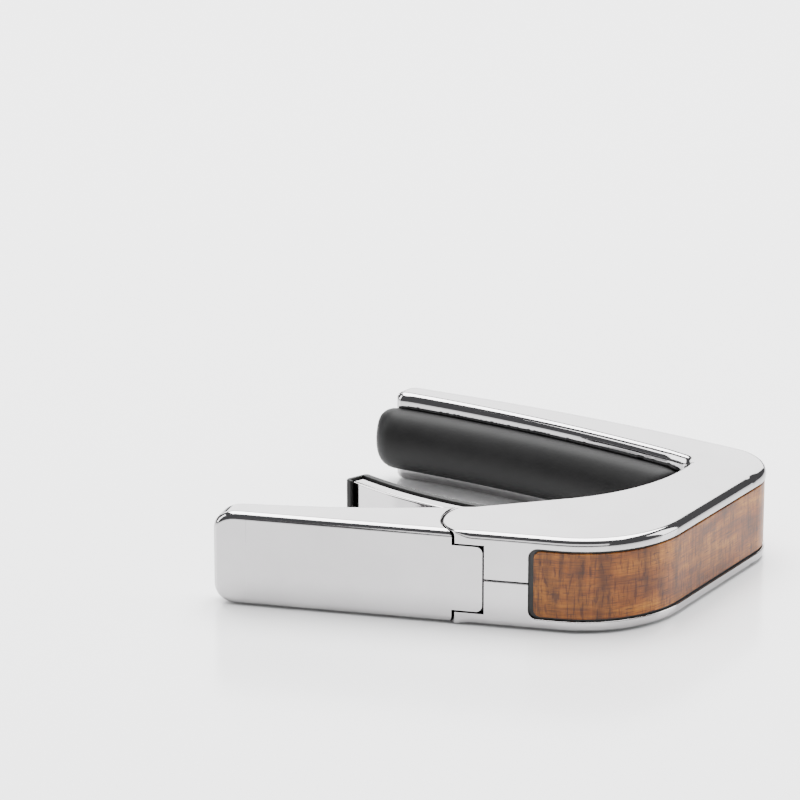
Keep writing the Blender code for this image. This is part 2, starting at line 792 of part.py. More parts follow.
def washers(name, centre, outer, home, tools):
    """A pair of washers, one at each side of the hubs."""
    return [
        ring(f"{name}_{side}", centre, outer, BORE_RADIUS, low, high, home, tools)
        for side, low, high in both_sides(WASHER_LOW, WASHER_HIGH)
    ]


def spring_path():
    """Leg on the lever's floor, the coil, and the leg on the casting's floor."""
    sweep = 360.0 * COIL_TURNS + COIL_END_DEG - COIL_START_DEG
    steps = COIL_STEPS * COIL_TURNS
    first = on_lower_wall(LEVER_LEG_X, LEVER_FLOOR + LEVER_LEG_GAP + WIRE_RADIUS)
    path = [(first.x, first.y, COIL_LOW)]
    for i in range(steps + 1):
        spot = point_at(LEVER_PIVOT, COIL_RADIUS, COIL_START_DEG + sweep * i / steps)
        path.append((spot.x, spot.y, COIL_LOW + (COIL_HIGH - COIL_LOW) * i / steps))
    path.append((*CASTING_LEG_END, COIL_HIGH))
    return path


def return_spring(home):
    curve = bpy.data.curves.new("return_spring", "CURVE")
    curve.dimensions = "3D"
    curve.bevel_depth = WIRE_RADIUS * MM
    curve.bevel_resolution = 2
    curve.use_fill_caps = True
    path = spring_path()
    spline = curve.splines.new("POLY")
    spline.points.add(len(path) - 1)
    for spot, place in zip(spline.points, path):
        spot.co = (*(value * MM for value in place), 1)
    return link(bpy.data.objects.new("return_spring", curve), home)


# ---------------------------------------------------------------- assembly


def finish(objects, look):
    for obj in objects:
        obj.data.materials.clear()
        obj.data.materials.append(look)
        if obj.type == "MESH":
            smooth(obj)


def build():
    clear_scene()
    home = collection("guitar_capo")
    tools = collection("cutters")

    chrome = material("chrome", (0.80, 0.80, 0.82), 0.08, 1.0)
    wood = material("figured_wood", (0.52, 0.25, 0.08), 0.35, 0.0)
    bed_black = material("bed_black", (0.02, 0.02, 0.02), 0.6, 0.0)
    rubber = material("black_rubber", (0.022, 0.022, 0.024), 0.55, 0.0)
    polymer = material("dark_polymer", (0.05, 0.05, 0.05), 0.45, 0.0)
    steel = material("pin_steel", (0.55, 0.55, 0.56), 0.25, 1.0)

    lower_half = casting_half(casting_tools(tools), home)
    halves = [lower_half, mirrored_half(lower_half, home)]
    strip = inlay_layer("inlay_strip", STRIP_OUTER, STRIP_INNER, home)
    bed = inlay_layer("inlay_bed", BED_OUTER, BED_INNER, home)
    pad = fret_pad(home)
    carrier = fret_pad_carrier(home)

    arm = clamp_arm(home, tools)
    boot = clamp_boot(home)
    squeeze_lever = lever(home, tools)

    pins = [
        disc("lever_pin", LEVER_PIVOT, PIN_RADIUS, PIN_END, WIDTH - PIN_END, home),
        disc("clamp_pin", CLAMP_PIVOT, PIN_RADIUS, PIN_END, WIDTH - PIN_END, home),
    ]
    dowels = [
        disc(f"frame_dowel_{i}", spot, DOWEL_RADIUS, DOWEL_LOW, WIDTH - DOWEL_LOW, home)
        for i, spot in enumerate(DOWELS, start=1)
    ]
    lever_washers = washers("lever_washer", LEVER_PIVOT, LEVER_WASHER_RADIUS, home, tools)
    clamp_washers = washers("clamp_washer", CLAMP_PIVOT, CLAMP_WASHER_RADIUS, home, tools)
    bush_span = (BUSH_LOW, WIDTH - BUSH_LOW)
    bush = ring("spring_bush", LEVER_PIVOT, BUSH_RADIUS, BORE_RADIUS, *bush_span, home, tools)
    spring = return_spring(home)

    finish(halves + [arm, squeeze_lever], chrome)
    finish([strip], wood)
    finish([bed], bed_black)
    finish([pad, boot], rubber)
    finish([carrier, bush] + lever_washers + clamp_washers, polymer)
    finish(pins + dowels + [spring], steel)

    ride([squeeze_lever], LEVER_PIVOT, "lever_axis", home)
    ride([arm, boot], CLAMP_PIVOT, "clamp_axis", home)
    for tool in tools.objects:
        hide_tool(tool)


build()
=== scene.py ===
"""Squeeze-lever guitar capo on a pale studio floor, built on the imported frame.

Outlines are in millimetres in the CAD's own axes, and MM turns them into metres when
a mesh is made. The visible castings, the inlay, the rubber and the
spring are finer pieces on the same outlines; the small hidden hardware keeps its
CAD shape.
"""

import math

import bmesh
import bpy
from mathutils import Matrix, Vector


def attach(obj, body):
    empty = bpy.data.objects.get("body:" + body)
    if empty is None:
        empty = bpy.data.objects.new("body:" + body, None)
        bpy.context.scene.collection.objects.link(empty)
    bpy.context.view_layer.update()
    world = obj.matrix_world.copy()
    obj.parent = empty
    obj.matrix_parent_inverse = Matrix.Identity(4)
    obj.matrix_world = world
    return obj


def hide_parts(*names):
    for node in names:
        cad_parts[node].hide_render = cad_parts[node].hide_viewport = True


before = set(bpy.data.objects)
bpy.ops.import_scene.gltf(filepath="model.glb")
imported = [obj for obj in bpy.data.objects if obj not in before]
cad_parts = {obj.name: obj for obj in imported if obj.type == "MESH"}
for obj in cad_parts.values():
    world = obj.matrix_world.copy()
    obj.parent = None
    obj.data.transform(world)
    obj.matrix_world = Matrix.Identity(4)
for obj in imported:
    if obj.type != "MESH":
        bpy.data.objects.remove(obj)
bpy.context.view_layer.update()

MM = 0.001

# Casting.
WIDTH = 15.0
MIDDLE = WIDTH / 2
SPLIT_GAP = 0.12
SPLIT_ROUND = 0.2
OUTER_ROUND = 1.2
INNER_ROUND = 0.9
FRET_WALL_ROUND = 1.45
SEAM_ROUND = 0.35
# The edge radius grows from the seam's to the wall's over this distance.
SEAM_BLEND = 2.0
# How near a point of the outline is to a wall that it counts as part of.
THROAT_REACH = 1.5
SEAM_REACH = 1.0
FRET_WALL_REACH = 0.6
INNER_RUN_REACH = 0.3

# Cutters run past a face by OVERRUN, and start a lip just outside it by SKIN.
OVERRUN = 1.0
SKIN = 0.001

# Meshing.
EDGE_STEPS = 6
ARC_STEP_MOST_DEG = 6.0
ARC_STEP_LEAST_DEG = 0.35
ARC_STEP_SCALE = 9.0
OUTLINE_STEP = 0.8
DISC_LAST_DEG = 354
MITRE_LIMIT = 0.35
WELD_METRES = 2e-7
ROLL_DEGREES = (18, 36, 54, 72, 90)

# Outer wall: sharp corners of the plan and their radii.
LOWER_WALL_START = (-41.38, -23.9)
LOWER_CORNER = (21.12, -38.6, 17.5)
TIGHT_CORNER = (46.0, 0.55, 9.5)
ARM_CREST = (18.2, 20.75, 300.0)
ARM_TIP_OUTER = (-12.6, 36.4, 2.2)
ARM_TIP_INNER = (-15.8, 32.33, 1.4)
WALL_NORMAL = Vector((0.229, 0.9734)).normalized()
WALL_ALONG = Vector((WALL_NORMAL.y, -WALL_NORMAL.x))

# Inner wall.
FRET_RADIUS = 241.3
FRET_CENTRE = (-128.5, -180.7)
FRET_TIP_DEG = 61.4
FRET_THROAT_DEG = 49.7
THROAT_CORNER = (31.1, -0.2, 2.5)
THROAT_CENTRE = (3.22, 12.5)
THROAT_RADIUS = 30.8
THROAT_START_DEG = -30.0
THROAT_END_DEG = -77.3

# Hinges.
LEVER_PIVOT = (-0.58, -27.4)
CLAMP_PIVOT = (8.3, -26.3)
CHEEK_RADIUS = 7.45
SEAM_DEGREES = (127.6, 219.6)
SEAM_GAP = 0.3
BORE_RADIUS = 1.3
BORE_END = 0.8
SLOT_LOW = 2.0
SLOT_LEVER_RADIUS = 4.1
SLOT_CLAMP_RADIUS = 4.9
SLOT_WALL_DEG = -103.2
SLOT_FLOOR_DEG = -88.0
SLOT_LEFT = -20.0
SLOT_BOTTOM = -40.0
SLOT_TOP = -10.0
HUB_LOW = 2.7

# Inlay.
POCKET_DEPTH = 1.7
POCKET_LOW = 1.9
POCKET_CORNER = 1.5
POCKET_LIP = 0.16
INLAY_START = (4.6, -34.72)
INLAY_END = (-9.7, 35.2)
STRIP_OUTER = 0.2
STRIP_INNER = 1.05
STRIP_ROUND = 0.14
STRIP_GAP = 0.34
STRIP_END_GAP = 0.8
STRIP_STEP = 0.5
STRIP_ROUND_DEGREES = (0, 22, 45, 67, 90)
BED_OUTER = 0.42
BED_INNER = 1.62
BED_GAP = 0.03
BED_ROUND = 0.06
BED_STEP = 0.8
# Room between the strip and its recess in the bed.
RECESS_GAP = 0.02
BAND_STEP = 0.6
BAND_LEAST_WIDTH = 0.05
BAND_LEAST_SIDE = 0.02
END_DEGREES = (0, 12, 24, 36, 48, 60, 75, 90)

# Fret pad and its channel.
CHANNEL_DEPTH = 2.3
CHANNEL_LOW = 2.75
CHANNEL_LIP = 0.3
CHANNEL_DEGREES = (63.2, 49.1)
# Turn between neighbouring points along the fretboard arc, shared by wall and channel.
FRET_STEP_DEG = 0.15
PAD_DEGREES = (62.65, 49.2)
PAD_HALF_WIDTH = 5.15
PAD_NECK_HALF_WIDTH = 4.45
PAD_HEIGHT = 4.8
PAD_FOOT_HALF_WIDTH = 4.5
PAD_END_ROUND = 3.6
# The free end at the arm's tip also narrows to this share of its width.
PAD_TIP_SHARE = 0.5
PAD_BOTTOM = -1.1
PAD_FOOT_TOP = -0.35
PAD_NECK_BOTTOM = -0.1
PAD_NECK_TOP = 0.3
PAD_SHOULDER_SHARE = 0.8
PAD_SHOULDER_RISE = 0.1
PAD_CROWN_RISE = 0.3
PAD_CROWN_STEPS = 22
PAD_STEP = 1.0
PAD_LEAST_FULLNESS = 0.02

# Clamp arm and its boot.
BOOT_CENTRE = (26.4, 40.0)
BOOT_RADIUS = 60.8
BOOT_LOW = 2.4
BOOT_ROOT_DEG = -106.5
BOOT_CAP_DEG = -139.3
BOOT_LIP_DEG = -138.0
BOOT_LIP_INNER = 64.7
BOOT_LIP_OUTER = 65.3
BOOT_EDGE_ROUND = 0.4
BOOT_LIP_ROUND = 0.2
BOOT_INSIDE_ROUND = 0.1
BOOT_GAP = 0.25
BOOT_FACE_SHORT_DEG = 0.8
BOOT_CAP_CORNER = 0.9
BOOT_BACK_CORNER = 0.7
BOOT_LIP_CORNER = 0.28
BOOT_REACH = 0.1
ARM_FRONT_RADIUS = 62.3
ARM_ROOT_DEG = -105.5
ARM_TIP_DEG = -138.5
ARM_TIP_THICKNESS = 2.1
ARM_BACK_MIDDLE = (2.6, -127.5, 60.0)
ARM_BACK_ROOT = (2.7, -116.0, 6.0)
ARM_EDGE_ROUND = 0.45
ARM_EDGE_STEPS = 4
CLAMP_HUB_RADIUS = 4.4
CLAMP_HUB_DEGREES = (128.0, 375.0)

# Squeeze lever, along its face (t) and up from its face (h).
LEVER_RIM = ((-4.0, -21.3), (-25.2, -21.2, 60.0), (-39.4, -19.5, 5.0))
LEVER_TIP = (-42.85, -20.1)
LEVER_TIP_ROUND = 4.0
LEVER_FACE_ROUND = 1.2
LEVER_RIM_ROUND = 0.84
LEVER_WALL = 2.2
LEVER_FLOOR = 1.8
LEVER_FOOT_X = 0.1
LEVER_STEPS = 40
# The first station stands just inside the tip, and more of them follow close behind it.
LEVER_TIP_SKIN = 0.012
LEVER_TIP_STATIONS = (0.05, 0.15, 0.35, 0.6)
# Most that a rounding or a wall takes of the lever's thickness or half width near the tip.
THICKNESS_SHARE = 0.48
WIDTH_SHARE = 0.9
WALL_SHARE = 0.6
DEPTH_SHARE = 0.5
LEVER_HUB_RADIUS = 3.4
CAVITY_LEFT_X = -37.8
CAVITY_FILLET = 0.8
CAVITY_LIP = 0.35
CAVITY_WALL = 0.02
CAVITY_PLAIN = 1.4
CAVITY_CORNER_STEPS = 4
TONGUE_LOW = 2.3
TONGUE_END_X = -2.2
TONGUE_CORNER = 1.0
TONGUE_CORNER_STEPS = 8
CHEEK_POINTS = 180
EAR_LOW = 1.2
EAR_HIGH = 4.9
EAR_WEB_TOP = (-9.6, -27.9)
EAR_WEB_FOOT_X = (-12.0, -3.3)
EAR_WEB_FOOT_INSIDE = 0.9
EAR_HUB_DEGREES = (-115.0, 130.0)
RECESS_BELOW = 3.9
RECESS_LEFT = 4.2
RECESS_REACH = 12.0

# Gearing.
GEAR_RATIO = 1.5
TOOTH_RADIUS = 1.1
TOOTH_HALF_DEG = 70.0
TOOTH_ROOT_DEG = 16.0
NOTCH_RADIUS = 1.5
NOTCH_MOUTH = 3.5
NOTCH_FLARE = 1.9

# Torsion spring.
COIL_RADIUS = 2.6
WIRE_RADIUS = 0.45
COIL_TURNS = 4
STEPS_PER_TURN = 40
COIL_LOW = 5.7
COIL_HIGH = 9.3
COIL_START_DEG = -103.0
COIL_END_DEG = -88.0
LEVER_LEG_X = -10.5
LEVER_LEG_GAP = 0.3
# The lever's leg carries on inside the coil's first turn for this many steps, a little slimmer.
LEG_OVERLAP_STEPS = 3
LEG_SLIMMER = 0.01
CASTING_LEG_END = (4.3, -30.5)

DOWELS = ((12.9, -31.4), (29.6, -17.5), (33.5, 3.2), (19.4, 14.7))
DOWEL_BORE_RADIUS = 0.9
DOWEL_BORE_LOW = 4.3

# Studio, in metres and watts: name, size, energy, place and target of each light.
LIGHTS = (
    ("top_softbox", (1.3, 1.2), 74.0, (0.0, 0.35, 1.2), (0, 0, 0)),
    ("back_softbox", (1.8, 0.8), 22.0, (0.0, 1.5, 0.6), (0, 0, 0.05)),
    ("left_softbox", (0.5, 0.9), 9.0, (-1.1, 0.1, 0.55), (0, 0, 0)),
    ("right_softbox", (0.5, 0.9), 8.0, (1.1, 0.1, 0.5), (0, 0, 0)),
    ("front_softbox", (1.6, 0.6), 7.0, (0.0, -1.6, 0.6), (0, 0, 0.05)),
)
FLOOR_HALF_SIZE = 3.0
WORLD_COLOR = (0.95, 0.96, 1.0, 1)
WORLD_STRENGTH = 0.16
CAMERA_PLACE = (-0.0145, -0.637, 0.2414)
CAMERA_TILT_DEG = 71.215
CAMERA_LENS = 194.4
CAMERA_SENSOR = 36.0
CAMERA_CLIP_START = 0.01


# ---------------------------------------------------------------- plan geometry


def point_at(centre, radius, degrees):
    angle = math.radians(degrees)
    return Vector((centre[0] + radius * math.cos(angle), centre[1] + radius * math.sin(angle)))


def arc(centre, radius, start, end, steps=None):
    """Points along an arc, close enough together that reflections run smoothly."""
    step = min(ARC_STEP_MOST_DEG, max(ARC_STEP_LEAST_DEG, ARC_STEP_SCALE / math.sqrt(radius)))
    steps = steps or max(1, math.ceil(abs(end - start) / step))
    return [point_at(centre, radius, start + (end - start) * i / steps) for i in range(steps + 1)]


def rounded(corners, closed=True):
    """An outline through (x, y) or (x, y, radius) corners, each rounded by a tangent arc."""
    outline = []
    last = len(corners) - 1
    for i, corner in enumerate(corners):
        here = Vector(corner[:2])
        is_end = not closed and i in (0, last)
        if len(corner) < 3 or is_end:
            outline.append(here)
            continue
        to_before = (Vector(corners[i - 1][:2]) - here).normalized()
        to_after = (Vector(corners[(i + 1) % len(corners)][:2]) - here).normalized()
        half = to_before.angle(to_after) / 2
        reach = corner[2] / math.tan(half)
        centre = here + (to_before + to_after).normalized() * (corner[2] / math.sin(half))
        start = here + to_before * reach - centre
        end = here + to_after * reach - centre
        start_deg = math.degrees(math.atan2(start.y, start.x))
        turn = math.degrees(math.atan2(start.cross(end), start.dot(end)))
        outline += arc(centre, corner[2], start_deg, start_deg + turn)
    return outline


def seam_arc():
    return arc(LEVER_PIVOT, CHEEK_RADIUS, *SEAM_DEGREES)


def inner_wall():
    fret_steps = round((FRET_TIP_DEG - FRET_THROAT_DEG) / FRET_STEP_DEG)
    fretboard = arc(FRET_CENTRE, FRET_RADIUS, FRET_TIP_DEG, FRET_THROAT_DEG, fret_steps)
    throat = arc(THROAT_CENTRE, THROAT_RADIUS, THROAT_START_DEG, THROAT_END_DEG)
    return rounded(fretboard + [THROAT_CORNER] + throat + [seam_arc()[0]], closed=False)


def casting_outline():
    inside = inner_wall()
    outside = [LOWER_CORNER, TIGHT_CORNER, ARM_CREST, ARM_TIP_OUTER, ARM_TIP_INNER]
    return rounded(seam_arc() + outside + inside[:1], closed=False)[:-1] + inside[:-1]


def inlay_path():
    return rounded((INLAY_START, LOWER_CORNER, TIGHT_CORNER, ARM_CREST, INLAY_END), closed=False)


def on_lower_wall(x, inside=0.0):
    start = Vector(LOWER_WALL_START)
    return start + WALL_ALONG * ((x - start.x) / WALL_ALONG.x) + WALL_NORMAL * inside


def nearest(spot, path):
    return min((spot - corner).length for corner in path)


def evenly(outline):
    """The closed outline with its long sides divided."""
    divided = []
    for a, b in zip(outline, outline[1:] + outline[:1]):
        count = max(1, math.ceil((b - a).length / OUTLINE_STEP))
        divided += [a.lerp(b, i / count) for i in range(count)]
    return divided


def roll(radius, turns=ROLL_DEGREES):
    """(distance from the side, depth below the face) at turns of a rounded edge."""
    places = []
    for degrees in turns:
        angle = math.radians(degrees)
        places.append((radius * (1 - math.sin(angle)), radius * (1 - math.cos(angle))))
    return places


# ---------------------------------------------------------------- mesh helpers


def closed_offset(outline, amounts):
    """A closed outline with each corner moved towards its inside by its own amount."""
    area = sum(a.cross(b) for a, b in zip(outline, outline[1:] + outline[:1]))
    turn = 1 if area > 0 else -1
    moved = []
    for i, here in enumerate(outline):
        before = (here - outline[i - 1]).normalized()
        after = (outline[(i + 1) % len(outline)] - here).normalized()
        first = Vector((-before.y, before.x)) * turn
        second = Vector((-after.y, after.x)) * turn
        mitre = (first + second) / max(MITRE_LIMIT, 1 + first.dot(second))
        moved.append(here + mitre * amounts[i])
    return moved


def new_object(name, shape):
    mesh = bpy.data.meshes.new(name)
    bmesh.ops.recalc_face_normals(shape, faces=shape.faces)
    shape.to_mesh(mesh)
    shape.free()
    obj = bpy.data.objects.new(name, mesh)
    bpy.context.scene.collection.objects.link(obj)
    return obj


def loft(name, rings):
    """A skin over rings of equal length, closed by end caps."""
    shape = bmesh.new()
    loops = [[shape.verts.new(Vector(spot) * MM) for spot in ring] for ring in rings]
    size = len(rings[0])
    for lower, upper in zip(loops, loops[1:]):
        for i in range(size):
            j = (i + 1) % size
            shape.faces.new((lower[i], lower[j], upper[j], upper[i]))
    shape.faces.new(loops[0])
    shape.faces.new(loops[-1])
    bmesh.ops.remove_doubles(shape, verts=shape.verts, dist=WELD_METRES)
    return new_object(name, shape)


def edge_rings(outline, level, rounds, inward, steps):
    """Rings from a plate's flat face at level out to its side; inward is 1 below and -1 above."""
    if not rounds:
        return [[(p.x, p.y, level) for p in outline]]
    rings = []
    for k in range(steps + 1):
        phi = math.pi / 2 * k / steps
        flat = closed_offset(outline, [r * (1 - math.sin(phi)) for r in rounds])
        rise = [inward * r * (1 - math.cos(phi)) for r in rounds]
        rings.append([(p.x, p.y, level + z) for p, z in zip(flat, rise)])
    return rings


def soft_plate(name, outline, low, high, low_rounds=None, high_rounds=None, steps=EDGE_STEPS):
    """A plate whose lower and upper edges are rounded, with a radius for each outline point."""
    rings = edge_rings(outline, low, low_rounds, 1, steps)
    rings += reversed(edge_rings(outline, high, high_rounds, -1, steps))
    return loft(name, rings)


def plate(name, outline, low, high):
    return soft_plate(name, outline, low, high)


def disc(name, centre, radius, low, high):
    return plate(name, arc(centre, radius, 0, DISC_LAST_DEG), low, high)


def sweep(name, places, sections):
    """Sections of (z, reach) stood on (origin, direction) places along a path."""
    rings = []
    for (origin, direction), section in zip(places, sections):
        rings.append([(*(origin + direction * reach), z) for z, reach in section])
    return loft(name, rings)


def cut(obj, tools, operation="DIFFERENCE"):
    """Cuts or joins the tools, applies the result and removes the tools."""
    for tool in tools:
        step = obj.modifiers.new(tool.name, "BOOLEAN")
        step.operation = operation
        step.solver = "EXACT"
        step.object = tool
    bpy.context.view_layer.update()
    graph = bpy.context.evaluated_depsgraph_get()
    mesh = bpy.data.meshes.new_from_object(obj.evaluated_get(graph))
    old = obj.data
    obj.modifiers.clear()
    obj.data = mesh
    bpy.data.meshes.remove(old)
    for tool in tools:
        bpy.data.objects.remove(tool, do_unlink=True)
    return obj


def polish(obj, degrees=32):
    """Smooth shading that keeps flat faces flat and real edges crisp."""
    obj.data.shade_smooth()
    obj.data.set_sharp_from_angle(angle=math.radians(degrees))
    weighted = obj.modifiers.new("flat_faces_stay_flat", "WEIGHTED_NORMAL")
    weighted.keep_sharp = True
    weighted.weight = 70


def place_piece(obj, body, nodes, look):
    obj.data.materials.clear()
    obj.data.materials.append(look)
    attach(obj, body)
    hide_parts(*nodes)


class Track:
    """Points and inward normals at any distance along an open path."""

    def __init__(self, points):
        self.points = points
        self.lengths = [0.0]
        for a, b in zip(points, points[1:]):
            self.lengths.append(self.lengths[-1] + (b - a).length)
        self.normals = []
        for i in range(len(points)):
            along = (points[min(i + 1, len(points) - 1)] - points[max(i - 1, 0)]).normalized()
            self.normals.append(Vector((-along.y, along.x)))
        self.total = self.lengths[-1]

    def at(self, distance):
        i = 0
        while i < len(self.points) - 2 and self.lengths[i + 1] < distance:
            i += 1
        share = (distance - self.lengths[i]) / (self.lengths[i + 1] - self.lengths[i])
        spot = self.points[i].lerp(self.points[i + 1], share)
        return spot, self.normals[i].lerp(self.normals[i + 1], share).normalized()


# ---------------------------------------------------------------- casting


def casting_rounds(outline):
    """Edge radius at each point: least at the seam, most on the outer and fretboard walls."""
    seam = seam_arc()
    throat = arc(THROAT_CENTRE, THROAT_RADIUS, THROAT_START_DEG, THROAT_END_DEG)
    throat_end = throat[-1]
    rounds = []
    for spot in outline:
        from_seam = nearest(spot, seam)
        aside = (spot - throat_end).cross(seam[0] - throat_end)
        on_inner_run = spot.x < throat_end.x and aside < INNER_RUN_REACH
        above_seam = seam[0].y - SEAM_REACH < spot.y < 0
        if nearest(spot, throat) < THROAT_REACH or (on_inner_run and above_seam):
            full = INNER_ROUND
        elif abs((spot - Vector(FRET_CENTRE)).length - FRET_RADIUS) < FRET_WALL_REACH:
            full = FRET_WALL_ROUND
        else:
            full = OUTER_ROUND
        rounds.append(SEAM_ROUND + (full - SEAM_ROUND) * min(1.0, from_seam / SEAM_BLEND))
    return rounds


def slot_outline():
    wall_end = Vector(LEVER_PIVOT) - WALL_NORMAL * SLOT_LEVER_RADIUS
    below = wall_end - WALL_NORMAL * ((wall_end.y - SLOT_BOTTOM) / WALL_NORMAL.y)
    under_lever = arc(LEVER_PIVOT, SLOT_LEVER_RADIUS, SLOT_WALL_DEG, SLOT_FLOOR_DEG)
    under_clamp = arc(CLAMP_PIVOT, SLOT_CLAMP_RADIUS, SLOT_FLOOR_DEG, 0.0)
    open_side = [Vector((SLOT_LEFT, SLOT_TOP)), Vector((SLOT_LEFT, SLOT_BOTTOM)), below]
    right_end = Vector((CLAMP_PIVOT[0] + SLOT_CLAMP_RADIUS, SLOT_TOP))
    return open_side + under_lever + under_clamp + [right_end]


def end_stations(total, corner, step, start=0.0):
    """Distances along a band: close together where its corners are round."""
    near = [corner * (1 - math.cos(math.radians(a))) for a in END_DEGREES]
    count = max(2, round((total - 2 * start - 2 * corner) / step))
    middle = (total - 2 * start - 2 * corner) / count
    inner = [start + corner + middle * i for i in range(1, count)]
    return [start + d for d in near] + inner + [total - start - d for d in reversed(near)]


def corner_inset(from_end, corner):
    """How far a round corner has drawn a side in, at a distance from the end."""
    if from_end >= corner:
        return 0.0
    return corner - math.sqrt(max(0.0, corner**2 - (corner - from_end) ** 2))


def band_piece(name, half_width, corner, profile, start=0.0, step=BAND_STEP):
    """A piece along the inlay's path; profile gives (inset, depth) from the outside in."""
    track = Track(inlay_path())
    places = []
    sections = []
    distances = end_stations(track.total, corner, step, start)
    for distance in distances:
        places.append(track.at(distance))
        from_end = min(distance - start, track.total - start - distance)
        inset = corner_inset(from_end, corner)
        width = max(half_width - inset, BAND_LEAST_WIDTH)
        reaches = [(max(width - side, BAND_LEAST_SIDE), depth) for side, depth in profile]
        right = [(MIDDLE + reach, depth) for reach, depth in reaches]
        left = [(MIDDLE - reach, depth) for reach, depth in reversed(reaches)]
        sections.append(right + left)
    obj = sweep(name, places, sections)
    return obj, distances


def inlay_pocket():
    half = MIDDLE - POCKET_LOW
    profile = [(-POCKET_LIP, -OVERRUN), (-POCKET_LIP, -SKIN)]
    profile += [(-out, deep) for out, deep in roll(POCKET_LIP)]
    profile.append((0.0, POCKET_DEPTH))
    return band_piece("inlay_pocket", half, POCKET_CORNER, profile)[0]


def fret_place(degrees):
    spot = point_at(FRET_CENTRE, FRET_RADIUS, degrees)
    return spot, (Vector(FRET_CENTRE) - spot).normalized()


def pad_channel():
    """Cutter for the pad's channel, with rolled lips along both of its edges."""
    half = MIDDLE - CHANNEL_LOW
    lip = CHANNEL_LIP
    side = [(half + lip, OVERRUN), (half + lip, SKIN)]
    side += [(half + out, -deep) for out, deep in roll(lip)]
    side.append((half, -CHANNEL_DEPTH))
    section = [(MIDDLE + z, h) for z, h in side] + [(MIDDLE - z, h) for z, h in reversed(side)]
    start, end = CHANNEL_DEGREES
    steps = round((start - end) / FRET_STEP_DEG)
    places = [fret_place(start + (end - start) * i / steps) for i in range(steps + 1)]
    return sweep("pad_channel", places, [section] * len(places))


def casting(chrome):
    outline = evenly(casting_outline())
    rounds = casting_rounds(outline)
    split = [SPLIT_ROUND] * len(outline)
    half = soft_plate("casting_lower", outline, 0, MIDDLE - SPLIT_GAP / 2, rounds, split)
    tools = [
        plate("hinge_slot", slot_outline(), SLOT_LOW, WIDTH - SLOT_LOW),
        inlay_pocket(),
        pad_channel(),
        disc("lever_bore", LEVER_PIVOT, BORE_RADIUS, BORE_END, WIDTH - BORE_END),
        disc("clamp_bore", CLAMP_PIVOT, BORE_RADIUS, BORE_END, WIDTH - BORE_END),
    ]
    for i, spot in enumerate(DOWELS, start=1):
        tool = disc(f"dowel_bore_{i}", spot, DOWEL_BORE_RADIUS, DOWEL_BORE_LOW, WIDTH)
        tools.append(tool)
    cut(half, tools)
    mesh = half.data.copy()
    mesh.name = "casting_upper"
    mesh.transform(Matrix.Translation((0, 0, WIDTH * MM)) @ Matrix.Scale(-1, 4, (0, 0, 1)))
    mesh.flip_normals()
    other = bpy.data.objects.new("casting_upper", mesh)
    bpy.context.scene.collection.objects.link(other)
    for obj, node in ((half, "frame_half_lower"), (other, "frame_half_upper")):
        polish(obj)
        place_piece(obj, "frame", [node], chrome)


# ---------------------------------------------------------------- inlay


def along_uv(obj, distances):
    """A UV map of metres along the inlay and across it, for the wood's grain."""
    layer = obj.data.uv_layers.new(name="grain")
    size = len(obj.data.vertices) // len(distances)
    for polygon in obj.data.polygons:
        for index in polygon.loop_indices:
            vertex = obj.data.loops[index].vertex_index
            row = min(vertex // size, len(distances) - 1)
            height = obj.data.vertices[vertex].co.z
            layer.data[index].uv = (distances[row] * MM, height)


def rounded_profile(outer, inner, radius):
    """(inset, depth) down one side of a strip whose outer edge is rounded."""
    edge = [(out, outer + deep) for out, deep in roll(radius, STRIP_ROUND_DEGREES)]
    return edge + [(0.0, inner)]


def inlay(wood, black):
    half = MIDDLE - POCKET_LOW
    width = half - STRIP_GAP
    corner = POCKET_CORNER - STRIP_GAP
    profile = rounded_profile(STRIP_OUTER, STRIP_INNER, STRIP_ROUND)
    strip, distances = band_piece("inlay_wood", width, corner, profile, STRIP_END_GAP, STRIP_STEP)
    along_uv(strip, distances)
    polish(strip, degrees=40)
    place_piece(strip, "frame", ["inlay_strip"], wood)

    tray_profile = rounded_profile(BED_OUTER, BED_INNER, BED_ROUND)
    tray, _ = band_piece(
        "inlay_tray", half - BED_GAP, POCKET_CORNER, tray_profile, BED_GAP, BED_STEP
    )
    recess_profile = [(0.0, -OVERRUN), (0.0, STRIP_INNER + RECESS_GAP)]
    recess_end = STRIP_END_GAP - RECESS_GAP
    recess, _ = band_piece(
        "tray_recess", width + RECESS_GAP, corner + RECESS_GAP, recess_profile, recess_end, BED_STEP
    )
    cut(tray, [recess])
    polish(tray)
    place_piece(tray, "frame", ["inlay_bed"], black)


# ---------------------------------------------------------------- fret pad


def pad_section(fullness):
    """Foot in the channel, a narrow neck at the lips, and the half-round crown."""
    foot = PAD_FOOT_HALF_WIDTH
    neck = PAD_NECK_HALF_WIDTH
    shoulder = neck + (PAD_HALF_WIDTH - neck) * fullness * PAD_SHOULDER_SHARE
    right = [(foot, PAD_BOTTOM), (foot, PAD_FOOT_TOP), (neck, PAD_NECK_BOTTOM), (neck, PAD_NECK_TOP)]
    right.append((shoulder, PAD_NECK_TOP + PAD_SHOULDER_RISE * fullness))
    width = neck + (PAD_HALF_WIDTH - neck) * fullness
    base = PAD_NECK_TOP + PAD_CROWN_RISE * fullness
    full_height = PAD_HEIGHT - (PAD_NECK_TOP + PAD_CROWN_RISE)
    crown = []
    for i in range(PAD_CROWN_STEPS + 1):
        angle = math.pi * i / PAD_CROWN_STEPS
        height = base + full_height * fullness * math.sin(angle)
        crown.append((width * math.cos(angle), height))
    left = [(-z, h) for z, h in reversed(right)]
    return [(MIDDLE + z, h) for z, h in right + crown + left]


